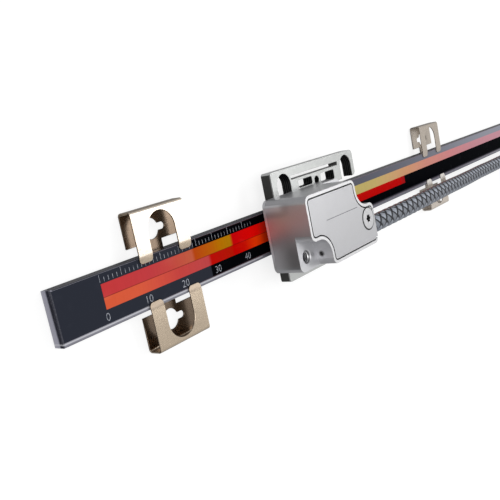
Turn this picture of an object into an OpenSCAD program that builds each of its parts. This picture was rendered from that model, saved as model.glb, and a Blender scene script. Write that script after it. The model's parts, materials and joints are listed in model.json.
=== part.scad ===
// Linear glass scale with a scanning head on a mounting bracket.
// The glass lies along X with its back on z = 0 and its graduated face up.
// The head rides above it on its bracket and slides along X. All sizes in mm.

/* [Glass scale] */
// Length of the glass
glass_len = 230; // [200:5:400]
// Width of the glass
glass_w = 9.8; // [9.5:0.1:12]
// Thickness of the glass
glass_t = 2.75; // [2:0.05:4]
// Chamfer along the edges of the glass
glass_chamfer = 0.15; // [0.05:0.05:0.4]
// Thickness of the dark coating
coat_t = 0.04; // [0.02:0.01:0.06]
// Bare glass left beside the coating, at the lower edge
coat_margin = 0.85; // [0.3:0.05:1.5]
// Thickness of the graduated tracks on the coating
track_t = 0.02; // [0.01:0.01:0.04]
// Width of the incremental track
inc_track_w = 2.4; // [1.5:0.1:3]
// Length of the incremental track
inc_track_len = 216; // [150:1:218]
// Width of the homing track
home_track_w = 2.15; // [1.5:0.05:3]
// Length of the homing track
home_track_len = 119; // [60:1:200]
// Height of the line between the tracks above the middle of the glass
track_line_y = 0.55; // [0:0.05:0.9]
// Length of the bare coating before the tracks start
track_inset = 10; // [6:0.5:12]

/* [Clamps] */
// Width of a clamp along the scale
clamp_w = 14; // [12:0.5:20]
// Distance from the edge of the glass to the outside of the fold
clamp_reach = 8.5; // [8:0.25:12]
// Thickness of the spring sheet
sheet_t = 0.3; // [0.2:0.05:0.4]
// Outer radius of the two bends in the fold
fold_r = 0.7; // [0.5:0.05:0.9]
// Lift of the front plate over the coated glass
plate_lift = 0.2; // [0.15:0.05:0.35]
// Distance from the edge of the glass to the back plate, beside its tab
plate_gap = 1.7; // [1:0.1:2.5]
// Width of the tab that meets the edge of the glass
tab_w = 4.4; // [3:0.1:6]
// Width of the window between the two fingers
window_w = 7.2; // [6:0.1:9]
// Sheet left between the window and the outside of the fold
window_edge = 1; // [0.8:0.1:2]
// Length of glass under a finger
finger_grip = 1.25; // [0.8:0.05:1.4]
// Corner radius of the finger tips
finger_r = 0.8; // [0.4:0.1:1.2]
// Radius of the screw hole
clamp_hole_r = 2.05; // [1.6:0.05:2.2]
// Distance from the edge of the glass to the centre of the screw hole
clamp_hole_reach = 4.1; // [4:0.1:5]
// Width of the notch through the screw hole
notch_w = 1.4; // [1:0.1:1.6]
// Length of the notch through the screw hole
notch_len = 7.3; // [5:0.1:9]
// Distance from the end of the glass to the middle of the first clamps
clamp_inset = 26.5; // [12:0.5:40]
// Distance between the two pairs of clamps
clamp_pitch = 124; // [80:1:160]

/* [Scanning head] */
// Place of the head along the scale, from the middle of the glass
head_x = -47.5; // [-60:0.5:-20]
// Place of the head across the scale
head_y = -0.3; // [-0.6:0.1:0.3]
// Length of the head along the scale
head_w = 27.3; // [26:0.1:34]
// Width of the head across the scale
head_h = 16.3; // [16:0.1:20]
// Height of the head over its bracket
head_t = 11.15; // [10.8:0.05:14]
// Length of the two cut corners along the scale
cut_w = 6.8; // [6:0.1:7.2]
// Width of the two cut corners across the scale
cut_h = 6.55; // [6:0.05:7]
// Radius inside the cut corners
cut_r = 4; // [2:0.1:4.5]
// Radius of the outer corners
corner_r = 1.6; // [1.2:0.1:2]
// Width of the rim around the cover
rim_w = 0.65; // [0.5:0.05:0.8]
// Gap between the rim and the cover
groove_w = 0.3; // [0.2:0.05:0.4]
// Width of the ledge under the cover
ledge_w = 1; // [0.8:0.1:1.2]
// Thickness of the cover
cover_t = 1.2; // [1:0.1:1.5]
// Thickness of the gasket under the cover
seal_t = 0.3; // [0.2:0.05:0.5]
// Thickness of the floor of the housing
floor_t = 1.5; // [1.2:0.1:2]
// Depth of the front ear below the face of the head
ear_drop = 4.2; // [3.5:0.1:5]
// Thickness of the rear ear
rear_ear_t = 3.4; // [3.2:0.1:4]
// Core radius of the tapped hole in the front ear
ear_hole_r = 1.25; // [1:0.05:1.5]
// Distance from the tapped hole to both faces of its corner
ear_hole_edge = 3; // [2.5:0.1:3.2]
// Radius of the small hole beside the front ear
vent_r = 0.45; // [0.3:0.05:0.6]
// Head radius of the cover screw
cover_screw_r = 2.45; // [2.2:0.05:2.5]
// Shank radius of the cover screw and the bracket screws
screw_r = 1.25; // [1:0.05:1.3]
// Shank length of the cover screw
cover_screw_len = 3.4; // [3:0.1:4]
// Distance from the cover screw to the middle of the head, along the scale
cover_screw_x = 10.7; // [10.5:0.1:10.8]
// Distance from the cover screw to the middle of the head, across the scale
cover_screw_y = -1.85; // [-2:0.05:-1.7]

/* [Mounting bracket] */
// Gap between the glass and the bracket
ride_gap = 0.85; // [0.8:0.05:1.2]
// Thickness of the bracket
bracket_t = 2.6; // [2.4:0.1:3.5]
// Length of the bracket along the scale
bracket_w = 36.1; // [35:0.1:40]
// Height of the top edge of the bracket over the middle of the glass
bracket_top_y = 13.2; // [13:0.1:16]
// Depth of the bottom edge of the bracket below the middle of the glass
bracket_low_y = 11.6; // [11:0.1:14]
// Distance from the left edge of the bracket to the middle of the head
bracket_left = 8.7; // [8.5:0.1:10]
// Height of the lower edge of the wing over the middle of the glass
wing_low_y = 6.6; // [6:0.1:7]
// Corner radius of the bracket
bracket_r = 1.2; // [0.5:0.1:2]
// Width of the two fastening slots
slot_w = 5.3; // [4.5:0.1:5.5]
// Bracket left over the fastening slots
slot_edge = 0.9; // [0.8:0.1:2]
// Length of the left fastening slot
slot_len = 6.9; // [6:0.1:7]
// Distance from the left slot to the left edge of the bracket
slot_left = 4.5; // [4:0.1:5]
// Distance between the two fastening slots
slot_pitch = 27.5; // [27:0.1:28]

/* [Optics] */
// Size of the scanning window along the scale
optic_window_w = 8; // [6:0.1:8.2]
// Size of the scanning window across the scale
optic_window_h = 7.2; // [5:0.1:7.4]
// Thickness of the scanning reticle
reticle_t = 1.5; // [1:0.1:1.8]
// Depth of the reticle inside the bracket
reticle_inset = 0.3; // [0.2:0.05:0.5]
// Thickness of the flange of the optics holder
flange_t = 1.5; // [1.2:0.1:1.8]
// Width of the flange around the window
flange_edge = 0.7; // [0.5:0.05:0.75]
// Radius of the condenser lens
lens_r = 2.4; // [2:0.1:2.6]
// Thickness of the circuit board
board_t = 1; // [0.8:0.1:1.2]
// Height of the circuit board over the floor of the housing
board_lift = 3.3; // [3:0.1:3.4]

/* [Cable and connector] */
// Diameter of the braided cable
cable_d = 4.5; // [4:0.1:4.6]
// Height of the cable over the bracket, where it leaves the head
cable_lift = 6.6; // [6.5:0.05:7]
// Distance from the cable to the middle of the head, across the scale
cable_off = 5.15; // [5:0.05:5.2]
// Wall of the cable ferrule
ferrule_wall = 0.35; // [0.2:0.05:0.4]
// Length of the ferrule outside the head
ferrule_out = 0.6; // [0.3:0.1:2]
// Length of the connector hood
hood_len = 34; // [30:1:45]
// Width of the connector hood
hood_w = 39; // [38:0.5:42]
// Thickness of the connector hood
hood_t = 13; // [12.6:0.1:16]
// Wall of the connector hood
hood_wall = 1.2; // [1:0.1:2]
// Distance between the two connector screws
jack_pitch = 33.3; // [33:0.1:34]
// Number of pins in the long row
long_row = 8; // [5:1:8]
// Distance between two pins of a row
pin_pitch = 2.77; // [2.7:0.01:2.8]
// Radius of a pin
pin_r = 0.5; // [0.4:0.05:0.6]

/* [Hidden] */

$fn = 48;
eps = 0.01;
fit = 0.05;          // play of a screw in its hole
slip = 0.15;         // play between pieces that drop into each other

// Levels
coat_z = glass_t + coat_t;
clamp_top = coat_z + plate_lift + sheet_t;
bracket_z = glass_t + ride_gap;
head_z = bracket_z + bracket_t;
face_z = head_z + head_t;
floor_z = head_z + floor_t;
ledge_z = face_z - cover_t - seal_t;
board_z = floor_z + board_lift;

// Plan sizes of the head, from its own middle
half_w = head_w / 2;
half_h = head_h / 2;
cut_x = half_w - cut_w;
cut_y = half_h - cut_h;
wall_w = rim_w + groove_w + ledge_w;
tongue_top = -0.3;
tongue_low = -6.8;

// Tracks
track_left = -glass_len / 2 + track_inset;
optic_y = track_line_y + (inc_track_w - home_track_w) / 2;

// Screws that hold the bracket to the head
bracket_screw_head_r = 2.35;
bracket_screw_head_t = bracket_screw_head_r - screw_r;
bracket_screw_len = bracket_t + 3;
bracket_screw_at = [[-4, -5.75], [half_w - ear_hole_edge, half_h - ear_hole_edge]];
boss_r = 2.3;

// Slit, adjusting slots and hole of the bracket, from its left edge and down from its top edge
slit_left = 7.5;
slit_len = 20.7;
slit_w = 0.9;
slit_down = 1.9;
adjust_r = 0.5;
adjust_a = [10.1, 3.4];
adjust_a_size = [5.9, 1.8];
adjust_b = [19.8, 3.5];
adjust_b_size = [6.2, 2.3];
pin_hole = [17.9, 4.7];
pin_hole_r = 1;

// Board and its screws
board_screw_at = [[-9.3, 3.3], [6.2, -4.4]];
board_boss_r = 1.4;
board_screw_r = 0.8;
led_r = 1.5;
led_z = 1.2;
lens_seat = 0.7;
lens_lip = 0.4;
detector_size = [3, 3.6, 0.8];
detector_x = 3.6;

// Bore of the ferrule in the right wall of the head
ferrule_r = cable_d / 2 + ferrule_wall;
ferrule_seat = 1.6;
wire_r = 1.2;
cable_z = head_z + cable_lift;
exit_x = head_x + half_w + ferrule_out;

// Free cable: from the head over the far clamps and down beside the scale
cable_r = cable_d / 2;
turn_pitch = 4.7;
tie_t = 0.9;
tie_w = 4;
hank_z = 1;
hank_x = 131;
hank_run = 50;
tie_x = hank_x + hank_run - 2.5;
hank_y = -27.7;
hank_r = 14;
hank_out_r = hank_r + turn_pitch;
hank_t = turn_pitch + cable_d;
layer_z = hank_z + cable_r;
lead_route = [
    [-22, -5.45, 12.8], [-10, -5.5, 12.8], [2, -5.6, 12.5], [14, -5.8, 11.8], [26, -6.1, 10.8],
    [38, -6.6, 9.6], [50, -7, 8.4], [62, -7.3, 7.3], [74, -7.6, 6.7], [86, -7.7, 6.4],
    [97, -7.8, 6.1], [105.5, -8, 5.9], [113, -8.3, 5], [120, -8.7, 3.9], [126, -8.95, 3.35],
    [131, -9, 3.25]
];
tail_route = [
    [175.5, -46.4, 8.4], [172.5, -46.4, 9.3], [168, -46.4, 10.8], [163.5, -46.4, 12.1],
    [159, -46.4, 12.6], [152, -46.4, 12.6], [138, -46.4, 12.6], [131, -46.4, 12.6],
    [126, -45.5, 12.6], [121.7, -43, 12.8], [118.4, -39.2, 13.1], [116.7, -34.4, 13.5],
    [116.7, -29.4, 13.8], [118.4, -24.6, 14.2], [121.7, -20.8, 14.5], [126, -18.3, 14.7],
    [131, -17.4, 14.9], [134.6, -17.7, 15.3], [138, -18.7, 15.8], [141.2, -20.4, 16.3],
    [144, -22.5, 16.8], [146.8, -24.7, 17.2], [150, -26.4, 17.5], [153.4, -27.4, 17.7],
    [158, -27.7, 17.7]
];

// Connector
hood_z = hank_z + hank_t + tie_t + 0.1;
plug_z = hood_z + hood_t / 2;
hood_x = 158;
hood_neck = 4;
hood_shoulder = 12;
flange_plate_t = 1;
shell_out = 5.8;
shell_w = 25;
shell_h = 8.3;
shell_wall = 0.5;
shell_slant = 10;
insert_t = 4.6;
pin_out = 5;
row_gap = 2.84;
jack_r = 1.4;
jack_knob_r = 2.9;
jack_knob_len = 7;
jack_out = 4.5;
knob_seat = 16;       // from the face that a knob rests on to the flange
lead_steps = 12;     // sides of the cable tubes

// ---- plan shapes ----

// Rectangle from one corner to another with round corners
module round_rect(low, high, r) {
    size = high - low;
    translate(low + [r, 0]) square([size.x - 2 * r, size.y]);
    translate(low + [0, r]) square([size.x, size.y - 2 * r]);
    for (x = [r, size.x - r], y = [r, size.y - r]) translate(low + [x, y]) circle(r);
}

// Outline of the head, a rectangle with two opposite corners cut out, set in by d
module head_outline(d = 0) {
    r = max(corner_r - d, 0.25);
    round_rect([-half_w + d, -cut_y + d], [cut_x - d, half_h - d], r);
    round_rect([-cut_x + d, -half_h + d], [half_w - d, cut_y - d], r);
    round_rect([-cut_x + d, -half_h + d], [cut_x - d, half_h - d], r);
    for (a = [0, 180]) rotate(a) difference() {
        translate([-cut_x - cut_r, -cut_y - cut_r]) square(cut_r + d);
        translate([-cut_x - cut_r, -cut_y - cut_r]) circle(cut_r + d);
    }
}

// Moves a plan shape to the head, at height z
module at_head(z) {
    translate([head_x, head_y, z]) children();
}

// Slot with round ends between two points on a line along Y
module upright_slot(w, y_low, y_high) {
    translate([-w / 2, y_low + w / 2]) square([w, y_high - y_low - w]);
    for (y = [y_low + w / 2, y_high - w / 2]) translate([0, y]) circle(d = w);
}

// Countersunk screw, head at z = 0 and shank up, with a six-lobe recess in the head
module flat_screw(head_r, shank_r, head_t, shank_len) {
    lobe_r = 0.24;
    lobe_at = 0.72;
    recess_t = 0.7;
    difference() {
        union() {
            cylinder(h = head_t, r1 = head_r, r2 = shank_r);
            cylinder(h = head_t + shank_len, r = shank_r);
        }
        translate([0, 0, -eps]) {
            cylinder(h = recess_t, r = lobe_at);
            for (a = [0:60:300]) rotate(a) translate([lobe_at, 0, 0]) cylinder(h = recess_t, r = lobe_r, $fn = 16);
        }
    }
}

// ---- scale ----

module glass_scale() {
    c = glass_chamfer;
    color([0.62, 0.63, 0.68, 0.6]) intersection() {
        rotate([90, 0, 90]) translate([0, 0, -glass_len / 2]) linear_extrude(glass_len) polygon([
            [-glass_w / 2 + c, 0], [glass_w / 2 - c, 0], [glass_w / 2, c], [glass_w / 2, glass_t - c],
            [glass_w / 2 - c, glass_t], [-glass_w / 2 + c, glass_t], [-glass_w / 2, glass_t - c],
            [-glass_w / 2, c]
        ]);
        rotate([90, 0, 0]) translate([0, 0, -glass_w]) linear_extrude(2 * glass_w) polygon([
            [-glass_len / 2 + c, 0], [glass_len / 2 - c, 0], [glass_len / 2, c],
            [glass_len / 2, glass_t - c], [glass_len / 2 - c, glass_t], [-glass_len / 2 + c, glass_t],
            [-glass_len / 2, glass_t - c], [-glass_len / 2, c]
        ]);
    }
}

module coating() {
    low_y = -glass_w / 2 + coat_margin;
    color([0.05, 0.05, 0.08])
        translate([-glass_len / 2 + glass_chamfer, low_y, glass_t])
            cube([glass_len - 2 * glass_chamfer, glass_w / 2 - glass_chamfer - low_y, coat_t]);
}

module track(length, low_y, width) {
    translate([track_left, low_y, coat_z]) cube([length, width, track_t]);
}

module incremental_track() {
    color([0.85, 0.35, 0.1]) track(inc_track_len, track_line_y, inc_track_w);
}

module homing_track() {
    color([0.8, 0.12, 0.06]) track(home_track_len, track_line_y - home_track_w, home_track_w);
}

// ---- clamps: drawn at the upper edge, y = 0 on the edge of the glass ----

module clamp_back_plate() {
    difference() {
        translate([-clamp_w / 2, 0]) square([clamp_w, clamp_reach - fold_r]);
        for (s = [-1, 1]) translate([s * (clamp_w + tab_w) / 4, plate_gap / 2])
            square([(clamp_w - tab_w) / 2 + eps, plate_gap + eps], center = true);
        translate([0, clamp_hole_reach]) circle(clamp_hole_r);
        translate([-notch_len / 2 + notch_w / 2, clamp_hole_reach - notch_w / 2])
            square([notch_len - notch_w, notch_w]);
        for (s = [-1, 1]) translate([s * (notch_len - notch_w) / 2, clamp_hole_reach])
            circle(d = notch_w, $fn = 24);
    }
}

// Section across the fold and the front plate: fold wall, two bends, plate and finger
module clamp_section() {
    bend_y = 0.3;
    translate([clamp_reach - sheet_t, fold_r]) square([sheet_t, clamp_top - 2 * fold_r]);
    translate([bend_y, clamp_top - sheet_t]) square([clamp_reach - fold_r - bend_y, sheet_t]);
    for (z = [fold_r, clamp_top - fold_r]) difference() {
        translate([clamp_reach - fold_r, z]) circle(fold_r);
        translate([clamp_reach - fold_r, z]) circle(fold_r - sheet_t);
        translate([clamp_reach - 3 * fold_r, z - fold_r]) square([2 * fold_r, 2 * fold_r]);
        translate([clamp_reach - 2 * fold_r, z > clamp_top / 2 ? z - 2 * fold_r : z])
            square([3 * fold_r, 2 * fold_r]);
    }
    polygon([
        [bend_y, clamp_top - sheet_t], [bend_y, clamp_top],
        [-finger_grip, coat_z + sheet_t], [-finger_grip, coat_z]
    ]);
}

// Plan of the front plate with its two fingers and the window between them
module clamp_front_plan() {
    finger_w = (clamp_w - window_w) / 2;
    window_top = clamp_reach - window_edge;
    difference() {
        union() {
            translate([-clamp_w / 2, 0]) square([clamp_w, clamp_reach + eps]);
            for (s = [-1, 1]) translate([s * (clamp_w - finger_w) / 2, 0])
                round_rect([-finger_w / 2, -finger_grip], [finger_w / 2, 2 * finger_r], finger_r);
        }
        translate([-window_w / 2, -2 * finger_grip])
            square([window_w, 2 * finger_grip + window_top - window_w / 2]);
        translate([0, window_top - window_w / 2]) circle(d = window_w);
    }
}

module clamp() {
    linear_extrude(sheet_t) clamp_back_plate();
    intersection() {
        rotate([90, 0, 90]) translate([0, 0, -clamp_w / 2]) linear_extrude(clamp_w) clamp_section();
        translate([0, 0, -eps]) linear_extrude(clamp_top + 1) clamp_front_plan();
    }
}

// pair 0 is the left one; side is 1 at the upper edge and -1 at the lower edge
module clamp_at(pair, side) {
    color([0.82, 0.75, 0.66])
        translate([-glass_len / 2 + clamp_inset + pair * clamp_pitch, side * glass_w / 2, 0])
            mirror([0, side < 0 ? 1 : 0, 0]) clamp();
}

// ---- bracket ----

module bracket_outline() {
    left = -bracket_left;
    right = bracket_w - bracket_left;
    round_rect([left, -bracket_low_y - head_y], [half_w, bracket_top_y - head_y], bracket_r / 2);
    round_rect([left, wing_low_y - head_y], [right, bracket_top_y - head_y], bracket_r);
}

// Slot of the given size, its top left corner at the given place on the bracket
module adjust_slot(at, size) {
    corner = [at.x - bracket_left, bracket_top_y - head_y - at.y];
    round_rect([corner.x, corner.y - size.y], [corner.x + size.x, corner.y], adjust_r);
}

module mounting_bracket() {
    top_y = bracket_top_y - head_y;
    left = -bracket_left;
    slot_x = left + slot_left;
    color([0.75, 0.76, 0.75]) difference() {
        at_head(bracket_z) linear_extrude(bracket_t) difference() {
            bracket_outline();
            translate([slot_x, 0]) upright_slot(slot_w, top_y - slot_edge - slot_len, top_y - slot_edge);
            translate([slot_x + slot_pitch, 0])
                upright_slot(slot_w, wing_low_y - head_y - slot_w, top_y - slot_edge);
            // long slit under the top edge, and the adjusting slots and hole below it
            translate([left + slit_left, top_y - slit_down - slit_w]) square([slit_len, slit_w]);
            adjust_slot(adjust_a, adjust_a_size);
            adjust_slot(adjust_b, adjust_b_size);
            translate([left + pin_hole.x, top_y - pin_hole.y]) circle(pin_hole_r);
            translate([0, optic_y - head_y]) square([optic_window_w, optic_window_h], center = true);
        }
        for (p = bracket_screw_at) at_head(bracket_z) translate([p.x, p.y, -eps]) {
            cylinder(h = bracket_t + 1, r = screw_r + fit);
            cylinder(h = bracket_screw_head_t, r1 = bracket_screw_head_r + fit, r2 = screw_r + fit);
        }
    }
}

module bracket_screw(i) {
    p = bracket_screw_at[i];
    color([0.6, 0.6, 0.62]) at_head(bracket_z) translate([p.x, p.y, 0])
        flat_screw(bracket_screw_head_r, screw_r, bracket_screw_head_t,
            bracket_screw_len - bracket_screw_head_t);
}

// ---- head ----

module ear_outline() {
    round_rect([-half_w, -half_h], [-cut_x + 2 * corner_r, -cut_y + 2 * corner_r], corner_r);
}

module head_housing() {
    color([0.66, 0.66, 0.69]) difference() {
        union() {
            difference() {
                union() {
                    at_head(head_z) linear_extrude(head_t) head_outline();
                    at_head(head_z) linear_extrude(head_t - ear_drop) ear_outline();
                    at_head(head_z) rotate(180) linear_extrude(rear_ear_t) ear_outline();
                }
                at_head(floor_z) linear_extrude(head_t) head_outline(wall_w);
                at_head(ledge_z) linear_extrude(head_t) head_outline(rim_w);
                at_head(ledge_z) translate([half_w - 2 * wall_w, tongue_low - groove_w, 0])
                    cube([2 * wall_w + 1, tongue_top - tongue_low + 2 * groove_w, head_t]);
            }
            intersection() {
                at_head(head_z) linear_extrude(ledge_z - head_z) head_outline(rim_w);
                union() {
                    // boss of the cover screw, carried by the right wall
                    at_head(ledge_z - cover_screw_len - seal_t) translate([cover_screw_x, cover_screw_y, 0])
                        cylinder(h = cover_screw_len + seal_t, r = boss_r);
                    at_head(head_z) translate([bracket_screw_at[0].x, bracket_screw_at[0].y, 0])
                        cylinder(h = bracket_screw_len - bracket_t + 0.4, r = boss_r);
                    for (p = board_screw_at) at_head(head_z) translate([p.x, p.y, 0])
                        cylinder(h = board_z - head_z, r = board_boss_r);
                }
            }
        }
        // scanning window in the floor
        translate([head_x, optic_y, head_z + floor_t / 2])
            cube([optic_window_w, optic_window_h, floor_t + 1], center = true);
        at_head(head_z) {
            translate([cover_screw_x, cover_screw_y, ledge_z - head_z - cover_screw_len - seal_t + fit])
                cylinder(h = head_t, r = screw_r + fit);
            for (p = bracket_screw_at) translate([p.x, p.y, -eps])
                cylinder(h = bracket_screw_len - bracket_t + fit, r = screw_r + fit);
            for (p = board_screw_at) translate([p.x, p.y, floor_t])
                cylinder(h = head_t, r = board_screw_r + fit);
            // tapped hole through the front ear, with its countersink
            translate([-half_w + ear_hole_edge, -half_h + ear_hole_edge, -eps])
                cylinder(h = head_t, r = ear_hole_r);
            translate([-half_w + ear_hole_edge, -half_h + ear_hole_edge, head_t - ear_drop - 0.35])
                cylinder(h = 0.36, r1 = ear_hole_r, r2 = ear_hole_r + 0.35);
            // small hole in the wall beside the front ear
            translate([-cut_x - 1, -half_h + 2.65, head_t - 2.9]) rotate([0, 90, 0])
                cylinder(h = 2, r = vent_r, $fn = 24);
            // seat of the ferrule, and the way of the wires behind it
            translate([half_w - ferrule_seat, -cable_off, cable_lift]) rotate([0, 90, 0])
                cylinder(h = 3, r = ferrule_r);
            translate([half_w - 2 * wall_w - 2, -cable_off, cable_lift]) rotate([0, 90, 0])
                cylinder(h = 2 * wall_w + 1, r = wire_r);
        }
    }
}

module cover_plan() {
    head_outline(rim_w + groove_w);
    translate([half_w - 2 * wall_w, tongue_low]) square([2 * wall_w, tongue_top - tongue_low]);
}

module head_cover() {
    color([0.82, 0.82, 0.84]) difference() {
        at_head(face_z - cover_t) linear_extrude(cover_t) cover_plan();
        at_head(face_z) translate([cover_screw_x, cover_screw_y, -cover_t - eps]) {
            cylinder(h = cover_t + 1, r = screw_r + fit);
            cylinder(h = cover_t + 2 * eps, r1 = screw_r + fit, r2 = cover_screw_r + fit);
        }
    }
}

module cover_seal() {
    color([0.12, 0.12, 0.12]) at_head(ledge_z) linear_extrude(seal_t) difference() {
        head_outline(rim_w + groove_w);
        head_outline(wall_w);
        translate([cover_screw_x, cover_screw_y]) circle(screw_r + 2 * fit);
    }
}

module cover_screw() {
    color([0.72, 0.72, 0.74]) at_head(face_z) translate([cover_screw_x, cover_screw_y, 0])
        mirror([0, 0, 1]) flat_screw(cover_screw_r, screw_r, cover_t, cover_screw_len);
}

// ---- optics and electronics inside the head ----

// Rectangle of the scanning window, grown by g on every side
module optic_rect(g) {
    translate([head_x, optic_y]) square([optic_window_w + 2 * g, optic_window_h + 2 * g], center = true);
}

module scanning_reticle() {
    color([0.75, 0.8, 0.85, 0.5]) translate([0, 0, bracket_z + reticle_inset])
        linear_extrude(reticle_t) optic_rect(-slip);
}

module optics_holder() {
    low = bracket_z + reticle_inset + reticle_t;
    color([0.12, 0.12, 0.13]) difference() {
        union() {
            translate([0, 0, low]) linear_extrude(floor_z + flange_t - low) optic_rect(-slip);
            translate([0, 0, floor_z]) linear_extrude(flange_t) optic_rect(flange_edge);
        }
        translate([head_x, optic_y, low - eps]) cylinder(h = head_t, r = lens_r - lens_lip);
        translate([head_x, optic_y, floor_z + flange_t - lens_seat]) cylinder(h = head_t, r = lens_r + fit);
    }
}

module condenser_lens() {
    dome_t = 0.4;
    sphere_r = (lens_r * lens_r + dome_t * dome_t) / (2 * dome_t);
    color([0.8, 0.85, 0.9, 0.5]) translate([head_x, optic_y, floor_z + flange_t - lens_seat])
        rotate_extrude() {
            square([lens_r, lens_seat - 0.1]);
            intersection() {
                translate([0, lens_seat - 0.1 + dome_t - sphere_r]) circle(sphere_r, $fn = 128);
                square([lens_r, lens_seat + dome_t]);
            }
        }
}

module light_source() {
    color([0.7, 0.2, 0.2]) translate([head_x, optic_y, board_z - led_z]) {
        cylinder(h = led_z, r = led_r);
        translate([0, 0, led_z - 0.4]) cylinder(h = 0.4, r = led_r + 0.3);
    }
}

module photodetector() {
    color([0.1, 0.1, 0.1])
        translate([head_x - detector_x - detector_size.x / 2, optic_y - detector_size.y / 2, board_z - detector_size.z])
            cube(detector_size);
}

module circuit_board() {
    color([0.1, 0.4, 0.2]) difference() {
        at_head(board_z) linear_extrude(board_t) head_outline(wall_w + slip);
        for (p = board_screw_at) at_head(board_z - eps) translate([p.x, p.y, 0])
            cylinder(h = board_t + 1, r = board_screw_r + fit);
    }
}

module board_screw(i) {
    p = board_screw_at[i];
    color([0.7, 0.7, 0.7]) at_head(board_z) translate([p.x, p.y, 0]) {
        translate([0, 0, -2]) cylinder(h = 2 + board_t + 0.3, r = board_screw_r);
        translate([0, 0, board_t]) cylinder(h = 0.8, r = board_screw_r * 1.8);
    }
}

// ---- cable ----

module cable_ferrule() {
    color([0.6, 0.6, 0.62])
        translate([head_x + half_w - ferrule_seat, head_y - cable_off, cable_z]) rotate([0, 90, 0])
            difference() {
                cylinder(h = ferrule_seat + ferrule_out, r = ferrule_r);
                translate([0, 0, -eps]) cylinder(h = ferrule_seat, r = wire_r);
            }
}

function unit(v) = v / norm(v);
// Direction of a route at its point i
function heading(route, i) =
    unit(route[min(i + 1, len(route) - 1)] - route[max(i - 1, 0)]);
// Ring of points around the route at point i, square to the heading
function ring(route, i, r, n) =
    let (d = heading(route, i), u = unit(cross([0, 0, 1], d)), v = cross(d, u))
    [for (k = [0:n - 1]) route[i] + r * (cos(360 * k / n) * u + sin(360 * k / n) * v)];

module tube(route, r, n) {
    rings = len(route);
    points = [for (i = [0:rings - 1]) each ring(route, i, r, n)];
    sides = [for (i = [0:rings - 2], k = [0:n - 1])
        [i * n + k, i * n + (k + 1) % n, (i + 1) * n + (k + 1) % n, (i + 1) * n + k]];
    ends = [[for (k = [n - 1:-1:0]) k], [for (k = [0:n - 1]) (rings - 1) * n + k]];
    polyhedron(points, concat(sides, ends));
}

module cable() {
    start = [exit_x, head_y - cable_off, cable_z];
    color([0.52, 0.54, 0.58]) tube(concat([start], lead_route), cable_r, lead_steps);
}

module hank_plan(r) {
    translate([hank_x, hank_y - r]) square([hank_run, 2 * r]);
    for (x = [hank_x, hank_x + hank_run]) translate([x, hank_y]) circle(r);
}

module cable_hank() {
    color([0.5, 0.52, 0.56]) translate([0, 0, hank_z]) linear_extrude(hank_t) difference() {
        hank_plan(hank_out_r + cable_r);
        hank_plan(hank_r - cable_r);
    }
}

module cable_tail() {
    finish = [hood_x + hood_neck, hank_y, plug_z];
    color([0.52, 0.54, 0.58]) tube(concat(tail_route, [finish]), cable_r, lead_steps);
}

// side is 1 for the run next to the scale and -1 for the other one
module cable_tie(side) {
    mid_y = hank_y + side * (hank_r + turn_pitch / 2);
    across = turn_pitch + cable_d;
    color([0.1, 0.1, 0.1]) translate([tie_x - tie_w / 2, mid_y, hank_z + hank_t / 2])
        difference() {
            translate([0, -across / 2 - tie_t, -hank_t / 2 - tie_t])
                cube([tie_w, across + 2 * tie_t, hank_t + 2 * tie_t]);
            translate([-1, -across / 2, -hank_t / 2]) cube([tie_w + 2, across, hank_t]);
        }
}

// ---- connector: drawn along +X from the cable entry, in the middle of the hood ----

module at_plug() {
    translate([hood_x, hank_y, plug_z]) children();
}

// Plan of the hood: neck, shoulders and full width behind the flange
module hood_plan(d = 0) {
    neck_w = cable_d + 2 * hood_wall + 1.6;
    full = hood_w / 2 - d;
    polygon([
        [d, -neck_w / 2 + d], [hood_neck + d, -neck_w / 2 + d], [hood_shoulder + d, -full],
        [hood_len, -full], [hood_len, full], [hood_shoulder + d, full],
        [hood_neck + d, neck_w / 2 - d], [d, neck_w / 2 - d]
    ]);
}

module hood_half(side) {
    difference() {
        translate([0, 0, side > 0 ? 0 : -hood_t / 2]) linear_extrude(hood_t / 2) hood_plan();
        translate([0, 0, -hood_t / 2 + hood_wall]) linear_extrude(hood_t - 2 * hood_wall) difference() {
            intersection() {
                hood_plan(hood_wall);
                translate([hood_neck, -hood_w / 2]) square([hood_len, hood_w]);
            }
            // solid shoulders that carry the two screws
            for (s = [-1, 1]) translate([hood_shoulder, s * jack_pitch / 2 - 4])
                square([hood_len, 8]);
        }
        rotate([0, 90, 0]) translate([0, 0, -1]) cylinder(h = hood_neck + 2, r = cable_r);
        for (s = [-1, 1]) translate([0, s * jack_pitch / 2, 0]) rotate([0, 90, 0])
            cylinder(h = hood_len + 1, r = jack_r + slip);
        // room for the knobs of the screws, open towards the cable
        for (s = [-1, 1]) translate([-1, s * jack_pitch / 2 + (s > 0 ? -jack_knob_r - 0.4 : -10), -hood_t])
            cube([hood_len - knob_seat + 1, 10 + jack_knob_r + 0.4, 2 * hood_t]);
    }
}

module hood_lower() {
    color([0.7, 0.7, 0.72]) at_plug() hood_half(-1);
}

module hood_upper() {
    color([0.73, 0.73, 0.75]) at_plug() hood_half(1);
}

// D-shaped outline of the shell, long side up
module shell_plan(d = 0) {
    r = 1.6;
    slant = tan(shell_slant) * shell_h / 2;
    hull() for (s = [-1, 1], y = [-1, 1])
        translate([s * (shell_w / 2 - r - slant + y * slant), y * (shell_h / 2 - r)])
            circle(r - d, $fn = 24);
}

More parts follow.
